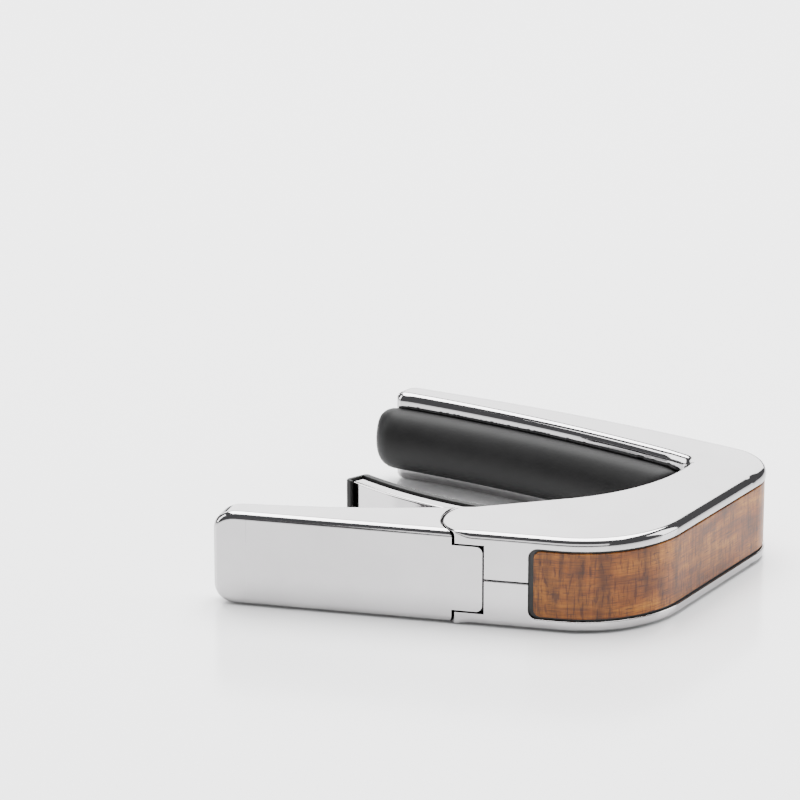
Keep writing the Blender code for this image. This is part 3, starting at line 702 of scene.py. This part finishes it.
def fret_pad(rubber):
    per_mm = math.degrees(1 / FRET_RADIUS)
    tip, throat = PAD_DEGREES
    length = (tip - throat) / per_mm
    distances = end_stations(length, PAD_END_ROUND, PAD_STEP)
    places = []
    sections = []
    for distance in distances:
        places.append(fret_place(tip - distance * per_mm))
        from_end = min(distance, length - distance, PAD_END_ROUND)
        fullness = math.sqrt(max(0.0, 1 - (1 - from_end / PAD_END_ROUND) ** 2))
        tip_fullness = math.sqrt(1 - (1 - min(distance, PAD_END_ROUND) / PAD_END_ROUND) ** 2)
        share = PAD_TIP_SHARE + (1 - PAD_TIP_SHARE) * tip_fullness
        section = pad_section(max(fullness, PAD_LEAST_FULLNESS))
        sections.append([(MIDDLE + (z - MIDDLE) * share, h) for z, h in section])
    pad = sweep("fret_pad_rubber", places, sections)
    polish(pad, degrees=50)
    place_piece(pad, "frame", ["fret_pad"], rubber)


# ---------------------------------------------------------------- clamp arm


def hinge_line():
    across = Vector(CLAMP_PIVOT) - Vector(LEVER_PIVOT)
    return across.normalized(), across.length


def notch_outline():
    along, distance = hinge_line()
    sideways = Vector((-along.y, along.x))
    centre = Vector(CLAMP_PIVOT) - along * (distance / (1 + GEAR_RATIO))
    facing = math.degrees(math.atan2(along.y, along.x))
    mouth = centre - along * NOTCH_MOUTH
    half_mouth = sideways * (NOTCH_RADIUS + NOTCH_FLARE)
    bottom = arc(centre, NOTCH_RADIUS, facing - 90, facing + 90)
    return bottom + [mouth + half_mouth, mouth - half_mouth]


def clamp_outline():
    front = arc(BOOT_CENTRE, ARM_FRONT_RADIUS, ARM_ROOT_DEG, ARM_TIP_DEG)
    hub = arc(CLAMP_PIVOT, CLAMP_HUB_RADIUS, *CLAMP_HUB_DEGREES)
    back = [point_at(BOOT_CENTRE, ARM_FRONT_RADIUS + ARM_TIP_THICKNESS, ARM_TIP_DEG)]
    for thickness, degrees, radius in (ARM_BACK_MIDDLE, ARM_BACK_ROOT):
        back.append((*point_at(BOOT_CENTRE, ARM_FRONT_RADIUS + thickness, degrees), radius))
    return front + rounded(back + [hub[0]], closed=False)[:-1] + hub


def clamp_arm(chrome):
    outline = clamp_outline()
    rounds = [ARM_EDGE_ROUND] * len(outline)
    arm = soft_plate(
        "clamp_arm_bar", outline, HUB_LOW, WIDTH - HUB_LOW, rounds, rounds, ARM_EDGE_STEPS
    )
    tools = [
        plate("clamp_notch", notch_outline(), 0, WIDTH),
        disc("clamp_hub_bore", CLAMP_PIVOT, BORE_RADIUS, 0, WIDTH),
    ]
    cut(arm, tools)
    polish(arm)
    place_piece(arm, "clamp", ["clamp_arm"], chrome)


def clamp_boot(rubber):
    arm_end = ARM_TIP_DEG - BOOT_GAP
    face = arc(BOOT_CENTRE, BOOT_RADIUS, BOOT_ROOT_DEG, BOOT_CAP_DEG + BOOT_FACE_SHORT_DEG)
    corners = [
        (*point_at(BOOT_CENTRE, BOOT_RADIUS, BOOT_CAP_DEG), BOOT_CAP_CORNER),
        (*point_at(BOOT_CENTRE, BOOT_LIP_OUTER, BOOT_CAP_DEG), BOOT_BACK_CORNER),
        (*point_at(BOOT_CENTRE, BOOT_LIP_OUTER, BOOT_LIP_DEG), BOOT_LIP_CORNER),
        (*point_at(BOOT_CENTRE, BOOT_LIP_INNER, BOOT_LIP_DEG), BOOT_LIP_CORNER),
        tuple(point_at(BOOT_CENTRE, BOOT_LIP_INNER, arm_end)),
    ]
    inside = arc(BOOT_CENTRE, ARM_FRONT_RADIUS - BOOT_GAP, arm_end, BOOT_ROOT_DEG)
    outline = rounded(face[:-1] + corners + inside, closed=True)
    rounds = []
    for spot in outline:
        reach = (spot - Vector(BOOT_CENTRE)).length
        if reach > BOOT_LIP_INNER - BOOT_REACH:
            rounds.append(BOOT_LIP_ROUND)
        elif reach > ARM_FRONT_RADIUS - BOOT_GAP - BOOT_REACH:
            rounds.append(BOOT_INSIDE_ROUND)
        else:
            rounds.append(BOOT_EDGE_ROUND)
    boot = soft_plate("clamp_boot_rubber", outline, BOOT_LOW, WIDTH - BOOT_LOW, rounds, rounds)
    polish(boot, degrees=45)
    place_piece(boot, "clamp", ["clamp_boot"], rubber)


# ---------------------------------------------------------------- lever


def wall_frame(spot):
    """A plan point as (t, h): along the lever's face and up from it."""
    away = Vector(spot[:2]) - Vector(LOWER_WALL_START)
    return away.dot(WALL_ALONG), away.dot(WALL_NORMAL)


def from_wall_frame(t, h):
    return Vector(LOWER_WALL_START) + WALL_ALONG * t + WALL_NORMAL * h


def lever_profile():
    """Lower and upper branches of the lever's side view, as (t, h) points from the tip."""
    rim = [(*wall_frame(corner), *corner[2:]) for corner in LEVER_RIM]
    tip_top = (*wall_frame(LEVER_TIP), LEVER_RIM_ROUND)
    tip_foot = (*wall_frame(on_lower_wall(LEVER_TIP[0] + LEVER_FOOT_X)), LEVER_FACE_ROUND)
    far = wall_frame(on_lower_wall(TONGUE_END_X))
    path = rounded([far, tip_foot, tip_top] + rim[::-1], closed=False)
    start = min(range(len(path)), key=lambda i: path[i].x)
    lower = path[: start + 1][::-1]
    upper = path[start:]
    return lower, upper


def height_on(branch, t):
    for a, b in zip(branch, branch[1:]):
        if a.x <= t <= b.x and b.x > a.x:
            return a.y + (b.y - a.y) * (t - a.x) / (b.x - a.x)
    return branch[-1].y


def quarter(centre, radius, start, end, steps=EDGE_STEPS):
    """Points of a fillet in a section, as (u, h)."""
    points = []
    for i in range(steps + 1):
        angle = math.radians(start + (end - start) * i / steps)
        points.append((centre[0] + radius * math.cos(angle), centre[1] + radius * math.sin(angle)))
    return points


def channel_section(half, low, high, depth, wall):
    """Right half of the channel, from the middle of its face to the middle of its floor."""
    thickness = high - low
    most = (THICKNESS_SHARE * thickness, half * WIDTH_SHARE)
    face_round = min(LEVER_FACE_ROUND, *most)
    rim_round = min(LEVER_RIM_ROUND, *most)
    inner = half - wall
    lip = min(CAVITY_LIP, DEPTH_SHARE * depth)
    fillet = min(CAVITY_FILLET, DEPTH_SHARE * depth)
    points = [(0.0, low)]
    points += quarter((half - face_round, low + face_round), face_round, -90, 0)
    points += quarter((half - rim_round, high - rim_round), rim_round, 0, 90)
    points += quarter((inner + lip, high - lip), lip, 90, 180, CAVITY_CORNER_STEPS)
    foot = (inner - fillet, high - depth + fillet)
    points += quarter(foot, fillet, 0, -90, CAVITY_CORNER_STEPS)
    points.append((0.0, high - depth))
    return points


def cavity_depth(t, start, full):
    """Depth of the channel: nothing over the solid tip, then a rolled lip, a wall and a fillet."""
    past = t - start
    if past <= -CAVITY_LIP:
        return 0.0
    if past <= 0:
        return CAVITY_LIP - math.sqrt(max(0.0, CAVITY_LIP**2 - (past + CAVITY_LIP) ** 2))
    if past < CAVITY_FILLET:
        drop = math.sqrt(max(0.0, CAVITY_FILLET**2 - (CAVITY_FILLET - past) ** 2))
        return full - CAVITY_FILLET + drop
    return full


def lever_stations(t_start, t_cavity, t_end):
    tip = [LEVER_TIP_ROUND * (1 - math.cos(math.radians(a))) for a in range(0, 91, 9)]
    stations = [t_start + LEVER_TIP_SKIN + d for d in tip]
    stations += [t_start + d for d in LEVER_TIP_STATIONS]
    stations += [t_cavity + CAVITY_LIP * (math.sin(math.radians(a)) - 1) for a in range(0, 91, 15)]
    stations.append(t_cavity + CAVITY_WALL)
    stations += [t_cavity + CAVITY_FILLET * (1 - math.cos(math.radians(a))) for a in range(10, 91, 16)]
    t = t_cavity + CAVITY_PLAIN
    stations += [t + (t_end - t) * i / LEVER_STEPS for i in range(LEVER_STEPS + 1)]
    return sorted(set(round(s, 4) for s in stations))


def lever_body():
    """The channel and the tongue, lofted from the tip to the end of the tongue."""
    lower, upper = lever_profile()
    t_start = lower[0].x
    t_cavity = wall_frame(on_lower_wall(CAVITY_LEFT_X))[0]
    t_end = wall_frame(on_lower_wall(TONGUE_END_X))[0]
    rings = []
    for t in lever_stations(t_start, t_cavity, t_end):
        low = height_on(lower, t)
        high = height_on(upper, t)
        half = MIDDLE - corner_inset(t - t_start, LEVER_TIP_ROUND)
        depth = cavity_depth(t, t_cavity, high - LEVER_FLOOR)
        wall = min(LEVER_WALL, half * WALL_SHARE)
        right = channel_section(half, low, high, depth, wall)
        left = [(-u, h) for u, h in right[1:-1]][::-1]
        ring = []
        for u, h in right + left:
            spot = from_wall_frame(t, h)
            ring.append((spot.x, spot.y, MIDDLE + u))
        rings.append(ring)
    return loft("lever_channel", rings)


def tongue_corner(name, side):
    """Cutter that rounds one corner of the tongue's end; side is -1 below and 1 above."""
    t_end = wall_frame(on_lower_wall(TONGUE_END_X))[0]
    edge = MIDDLE - TONGUE_LOW
    round_centre = (t_end - TONGUE_CORNER, edge - TONGUE_CORNER)
    outline = quarter(round_centre, TONGUE_CORNER, 90, 0, TONGUE_CORNER_STEPS)
    outline += [(t_end + OVERRUN, edge - TONGUE_CORNER), (t_end + OVERRUN, edge + OVERRUN)]
    outline.append((t_end - TONGUE_CORNER, edge + OVERRUN))
    rings = []
    for h in (-OVERRUN, LEVER_FLOOR + OVERRUN):
        spots = [from_wall_frame(t, h) for t, _ in outline]
        rings.append([(p.x, p.y, MIDDLE + side * u) for p, (_, u) in zip(spots, outline)])
    return loft(name, rings)


def ear_outline():
    along, distance = hinge_line()
    facing = math.degrees(math.atan2(along.y, along.x))
    tooth_centre = Vector(LEVER_PIVOT) + along * (distance * GEAR_RATIO / (1 + GEAR_RATIO))
    start, end = EAR_HUB_DEGREES
    below = arc(LEVER_PIVOT, LEVER_HUB_RADIUS, start, facing - TOOTH_ROOT_DEG)
    tooth = arc(tooth_centre, TOOTH_RADIUS, facing - TOOTH_HALF_DEG, facing + TOOTH_HALF_DEG)
    above = arc(LEVER_PIVOT, LEVER_HUB_RADIUS, facing + TOOTH_ROOT_DEG, end)
    web = [Vector(EAR_WEB_TOP)] + [on_lower_wall(x, EAR_WEB_FOOT_INSIDE) for x in EAR_WEB_FOOT_X]
    return below + tooth + above + web


def cheek_cutter(name, low, high, face):
    """A disc that leaves room for a cheek, with a flare that rounds the seam's edge at face."""
    reach = CHEEK_RADIUS + SEAM_GAP
    inward = 1 if face == low + OVERRUN else -1
    levels = [(face - inward * OVERRUN, SEAM_ROUND)]
    levels += [(face + inward * deep, out) for out, deep in roll(SEAM_ROUND, (0, *ROLL_DEGREES))]
    levels.append((high if inward == 1 else low, 0.0))
    rings = []
    for z, extra in levels:
        turns = [360 * i / CHEEK_POINTS for i in range(CHEEK_POINTS)]
        circle = [point_at(LEVER_PIVOT, reach + extra, degrees) for degrees in turns]
        rings.append([(p.x, p.y, z) for p in circle])
    return loft(name, rings)


def hub_face():
    centre = Vector(LEVER_PIVOT)
    left = centre - WALL_NORMAL * RECESS_BELOW - WALL_ALONG * RECESS_LEFT
    right = left + WALL_ALONG * (RECESS_LEFT + RECESS_REACH)
    return [left, right, right + WALL_NORMAL * RECESS_REACH, left + WALL_NORMAL * RECESS_REACH]


def lever(chrome):
    body = lever_body()
    ears = [
        plate("lever_ear_lower", ear_outline(), EAR_LOW, EAR_HIGH),
        plate("lever_ear_upper", ear_outline(), WIDTH - EAR_HIGH, WIDTH - EAR_LOW),
    ]
    cut(body, ears, "UNION")
    tools = [
        cheek_cutter("cheek_lower", -OVERRUN, TONGUE_LOW, 0.0),
        cheek_cutter("cheek_upper", WIDTH - TONGUE_LOW, WIDTH + OVERRUN, WIDTH),
        plate("hub_face_lower", hub_face(), SLOT_LOW, HUB_LOW),
        plate("hub_face_upper", hub_face(), WIDTH - HUB_LOW, WIDTH - SLOT_LOW),
        disc("lever_hub_bore", LEVER_PIVOT, BORE_RADIUS, 0, WIDTH),
        tongue_corner("tongue_corner_lower", -1),
        tongue_corner("tongue_corner_upper", 1),
    ]
    cut(body, tools)
    polish(body)
    place_piece(body, "lever", ["lever"], chrome)


# ---------------------------------------------------------------- spring


def wire_piece(name, path, radius, body, steel):
    """A round wire along the path."""
    curve = bpy.data.curves.new(name, "CURVE")
    curve.dimensions = "3D"
    curve.bevel_depth = radius * MM
    curve.bevel_resolution = 4
    curve.use_fill_caps = True
    spline = curve.splines.new("POLY")
    spline.points.add(len(path) - 1)
    for spot, place in zip(spline.points, path):
        spot.co = (*(value * MM for value in place), 1)
    wire = bpy.data.objects.new(name, curve)
    bpy.context.scene.collection.objects.link(wire)
    place_piece(wire, body, ["return_spring"], steel)


def spring_wire(steel):
    """The coil and its casting leg, and the lever's leg, which slides out of the coil's first turn."""
    sweep_deg = 360.0 * COIL_TURNS + COIL_END_DEG - COIL_START_DEG
    steps = STEPS_PER_TURN * COIL_TURNS
    coil = []
    for i in range(steps + 1):
        spot = point_at(LEVER_PIVOT, COIL_RADIUS, COIL_START_DEG + sweep_deg * i / steps)
        coil.append((spot.x, spot.y, COIL_LOW + (COIL_HIGH - COIL_LOW) * i / steps))
    foot = on_lower_wall(LEVER_LEG_X, LEVER_FLOOR + LEVER_LEG_GAP + WIRE_RADIUS)
    leg = [(foot.x, foot.y, COIL_LOW)] + coil[:LEG_OVERLAP_STEPS]
    wire_piece("spring_coil", coil + [(*CASTING_LEG_END, COIL_HIGH)], WIRE_RADIUS, "frame", steel)
    wire_piece("spring_lever_leg", leg, WIRE_RADIUS - LEG_SLIMMER, "lever", steel)


# ---------------------------------------------------------------- materials


class Look:
    """A node material with a Principled shader, and short calls for its parts."""

    def __init__(self, name, roughness=0.5, metallic=0.0):
        self.material = bpy.data.materials.new(name)
        self.material.use_nodes = True
        self.tree = self.material.node_tree
        self.shader = self.tree.nodes["Principled BSDF"]
        self.shader.inputs["Roughness"].default_value = roughness
        self.shader.inputs["Metallic"].default_value = metallic
        self.object_coordinates = self.node("ShaderNodeTexCoord").outputs["Object"]

    def node(self, kind, **settings):
        made = self.tree.nodes.new(kind)
        for key, value in settings.items():
            setattr(made, key, value)
        return made

    def wire(self, source, target):
        self.tree.links.new(source, target)

    def mapped(self, source, scale, rotation=(0, 0, 0)):
        mapping = self.node("ShaderNodeMapping")
        mapping.inputs["Scale"].default_value = scale
        mapping.inputs["Rotation"].default_value = rotation
        self.wire(source, mapping.inputs["Vector"])
        return mapping.outputs["Vector"]

    def noise(self, source, scale, detail=4.0, roughness=0.5, distortion=0.0):
        made = self.node("ShaderNodeTexNoise")
        made.inputs["Scale"].default_value = scale
        made.inputs["Detail"].default_value = detail
        made.inputs["Roughness"].default_value = roughness
        made.inputs["Distortion"].default_value = distortion
        self.wire(source, made.inputs["Vector"])
        return made.outputs["Fac"]

    def ramp(self, source, stops):
        """Colour or grey from 0 to 1 by (position, colour) stops."""
        made = self.node("ShaderNodeValToRGB")
        elements = made.color_ramp.elements
        while len(elements) < len(stops):
            elements.new(0.5)
        for element, (position, color) in zip(elements, stops):
            element.position = position
            element.color = (*color, 1)
        self.wire(source, made.inputs["Fac"])
        return made.outputs["Color"]

    def span(self, source, low, high, from_low=0.0, from_high=1.0):
        """The source's range mapped to low..high."""
        made = self.node("ShaderNodeMapRange")
        made.inputs["From Min"].default_value = from_low
        made.inputs["From Max"].default_value = from_high
        made.inputs["To Min"].default_value = low
        made.inputs["To Max"].default_value = high
        self.wire(source, made.inputs["Value"])
        return made.outputs["Result"]

    def mix(self, factor, first, second, blend="MIX"):
        """Two colours mixed; factor is a number or a source."""
        made = self.node("ShaderNodeMix", data_type="RGBA", blend_type=blend)
        sockets = [s for s in made.inputs if s.enabled]
        for socket, value in zip(sockets, (factor, first, second)):
            if isinstance(value, (int, float)):
                socket.default_value = value
            elif isinstance(value, tuple):
                socket.default_value = (*value, 1)
            else:
                self.wire(value, socket)
        return next(s for s in made.outputs if s.enabled)

    def bump(self, height, strength, distance, after=None):
        made = self.node("ShaderNodeBump")
        made.inputs["Strength"].default_value = strength
        made.inputs["Distance"].default_value = distance
        self.wire(height, made.inputs["Height"])
        if after is not None:
            self.wire(after, made.inputs["Normal"])
        return made.outputs["Normal"]


def chrome_look():
    """Bright plating on a hand-polished zinc casting."""
    look = Look("chrome_plate", metallic=1.0)
    haze = look.noise(look.object_coordinates, 90, 5.0, 0.6)
    tone = look.ramp(haze, [(0.3, (0.435, 0.425, 0.430)), (0.7, (0.485, 0.475, 0.480))])
    look.wire(tone, look.shader.inputs["Base Color"])
    wipe = look.noise(look.mapped(look.object_coordinates, (1, 1, 6)), 220, 6.0, 0.65)
    roughness = look.span(wipe, 0.035, 0.10, 0.3, 0.75)
    look.wire(roughness, look.shader.inputs["Roughness"])
    waves = look.noise(look.object_coordinates, 130, 1.0, 0.4)
    scratches = look.noise(look.mapped(look.object_coordinates, (30, 30, 900)), 12, 3.0, 0.6)
    soft = look.bump(waves, 0.05, 0.0003)
    fine = look.bump(scratches, 0.02, 0.00002, soft)
    look.wire(fine, look.shader.inputs["Normal"])
    return look.material


def wood_look():
    """Figured orange-brown wood: curl across the strip, dark fibres and pores along it."""
    look = Look("figured_wood_satin")
    look.shader.inputs["Specular IOR Level"].default_value = 0.3
    look.shader.inputs["Coat Weight"].default_value = 0.12
    look.shader.inputs["Coat Roughness"].default_value = 0.2
    grain_map = look.node("ShaderNodeUVMap", uv_map="grain").outputs["UV"]

    drift = look.noise(look.mapped(grain_map, (60, 210, 1)), 1.0, 4.0, 0.6, 0.5)
    body = look.ramp(
        drift,
        [
            (0.28, (0.075, 0.018, 0.001)),
            (0.44, (0.180, 0.051, 0.003)),
            (0.58, (0.295, 0.103, 0.007)),
            (0.76, (0.450, 0.190, 0.018)),
        ],
    )
    curl = look.noise(look.mapped(grain_map, (620, 70, 1), (0, 0, 0.12)), 1.0, 3.0, 0.6, 0.8)
    curl_stops = [(0.34, (0.42, 0.36, 0.32)), (0.50, (0.95, 0.92, 0.90)), (0.66, (1.45, 1.40, 1.30))]
    banded = look.mix(0.8, body, look.ramp(curl, curl_stops), "MULTIPLY")
    fibres = look.noise(look.mapped(grain_map, (150, 3200, 1)), 1.0, 4.0, 0.6, 0.4)
    fibre_tone = look.ramp(fibres, [(0.32, (0.42, 0.34, 0.30)), (0.56, (1.0, 1.0, 1.0))])
    fibred = look.mix(0.75, banded, fibre_tone, "MULTIPLY")
    ribbon = look.noise(look.mapped(grain_map, (2600, 420, 1)), 1.0, 2.0, 0.5, 0.5)
    ribbon_tone = look.ramp(ribbon, [(0.36, (0.40, 0.32, 0.28)), (0.46, (1.0, 1.0, 1.0))])
    ribboned = look.mix(0.85, fibred, ribbon_tone, "MULTIPLY")
    pores = look.noise(look.mapped(grain_map, (420, 7000, 1)), 1.0, 2.0, 0.5)
    pore_mask = look.ramp(pores, [(0.33, (1, 1, 1)), (0.40, (0, 0, 0))])
    final = look.mix(pore_mask, ribboned, (0.040, 0.011, 0.003))
    look.wire(final, look.shader.inputs["Base Color"])
    look.wire(look.span(fibres, 0.34, 0.52), look.shader.inputs["Roughness"])
    relief = look.bump(pores, 0.25, 0.00003)
    look.wire(relief, look.shader.inputs["Normal"])
    return look.material


def rubber_look():
    """Moulded black elastomer with a fine grain and a little dust-grey in its sheen."""
    look = Look("moulded_rubber")
    look.shader.inputs["Specular IOR Level"].default_value = 0.2
    cloud = look.noise(look.object_coordinates, 160, 4.0, 0.6)
    look.wire(
        look.ramp(cloud, [(0.3, (0.003, 0.003, 0.0031)), (0.75, (0.007, 0.0068, 0.007))]),
        look.shader.inputs["Base Color"],
    )
    grain = look.noise(look.object_coordinates, 5200, 3.0, 0.6)
    look.wire(look.span(cloud, 0.44, 0.60), look.shader.inputs["Roughness"])
    look.wire(look.bump(grain, 0.35, 0.00004), look.shader.inputs["Normal"])
    return look.material


def plain_look(name, dark, light, roughness, metallic, grain_scale):
    """Small hardware: a fine turned or moulded grain."""
    look = Look(name, metallic=metallic)
    cloud = look.noise(look.object_coordinates, 300, 3.0)
    look.wire(look.ramp(cloud, [(0.3, dark), (0.7, light)]), look.shader.inputs["Base Color"])
    grain = look.noise(look.mapped(look.object_coordinates, grain_scale), 40, 3.0)
    look.wire(look.span(grain, roughness - 0.08, roughness + 0.1), look.shader.inputs["Roughness"])
    look.wire(look.bump(grain, 0.15, 0.00002), look.shader.inputs["Normal"])
    return look.material


# ---------------------------------------------------------------- studio


def floor_look():
    look = Look("studio_floor", roughness=0.16)
    cloud = look.noise(look.object_coordinates, 3, 2.0)
    look.wire(
        look.ramp(cloud, [(0.3, (0.86, 0.86, 0.865)), (0.7, (0.875, 0.875, 0.88))]),
        look.shader.inputs["Base Color"],
    )
    look.wire(look.span(cloud, 0.14, 0.20), look.shader.inputs["Roughness"])
    return look.material


def floor():
    shape = bmesh.new()
    bmesh.ops.create_grid(shape, x_segments=8, y_segments=8, size=FLOOR_HALF_SIZE)
    obj = new_object("floor", shape)
    obj.data.materials.append(floor_look())


def area_light(name, size, energy, place, target):
    lamp = bpy.data.lights.new(name, "AREA")
    lamp.shape = "RECTANGLE"
    lamp.size, lamp.size_y = size
    lamp.energy = energy
    obj = bpy.data.objects.new(name, lamp)
    obj.location = place
    obj.rotation_euler = (Vector(target) - Vector(place)).to_track_quat("-Z", "Y").to_euler()
    bpy.context.scene.collection.objects.link(obj)


def studio():
    floor()
    for light in LIGHTS:
        area_light(*light)
    world = bpy.data.worlds.new("studio")
    bpy.context.scene.world = world
    world.use_nodes = True
    background = world.node_tree.nodes["Background"]
    background.inputs["Color"].default_value = WORLD_COLOR
    background.inputs["Strength"].default_value = WORLD_STRENGTH


def camera():
    data = bpy.data.cameras.new("camera")
    data.lens = CAMERA_LENS
    data.sensor_width = CAMERA_SENSOR
    data.clip_start = CAMERA_CLIP_START
    obj = bpy.data.objects.new("camera", data)
    obj.location = CAMERA_PLACE
    obj.rotation_euler = (math.radians(CAMERA_TILT_DEG), 0, 0)
    bpy.context.scene.collection.objects.link(obj)
    bpy.context.scene.camera = obj


# ---------------------------------------------------------------- assembly


def dress_hardware(steel, polymer):
    """New materials for the CAD nodes that keep their shape."""
    steel_nodes = ["lever_pin", "clamp_pin"] + [f"frame_dowel_{i}" for i in range(1, 5)]
    polymer_nodes = ["spring_bush", "fret_pad_carrier"]
    for name in ("lever_washer", "clamp_washer"):
        polymer_nodes += [f"{name}_lower", f"{name}_upper"]
    for names, look in ((steel_nodes, steel), (polymer_nodes, polymer)):
        for name in names:
            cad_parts[name].material_slots[0].material = look


def main():
    chrome = chrome_look()
    rubber = rubber_look()
    steel = plain_look("turned_steel", (0.42, 0.42, 0.43), (0.58, 0.58, 0.59), 0.3, 1.0, (1, 1, 90))
    polymer = plain_look("moulded_polymer", (0.03, 0.03, 0.03), (0.05, 0.05, 0.05), 0.45, 0.0, (8, 8, 8))
    black = plain_look("black_liner", (0.006, 0.006, 0.006), (0.014, 0.014, 0.014), 0.55, 0.0, (8, 8, 8))
    casting(chrome)
    inlay(wood_look(), black)
    fret_pad(rubber)
    clamp_arm(chrome)
    clamp_boot(rubber)
    lever(chrome)
    spring_wire(steel)
    dress_hardware(steel, polymer)
    studio()
    camera()


main()
bpy.context.view_layer.update()
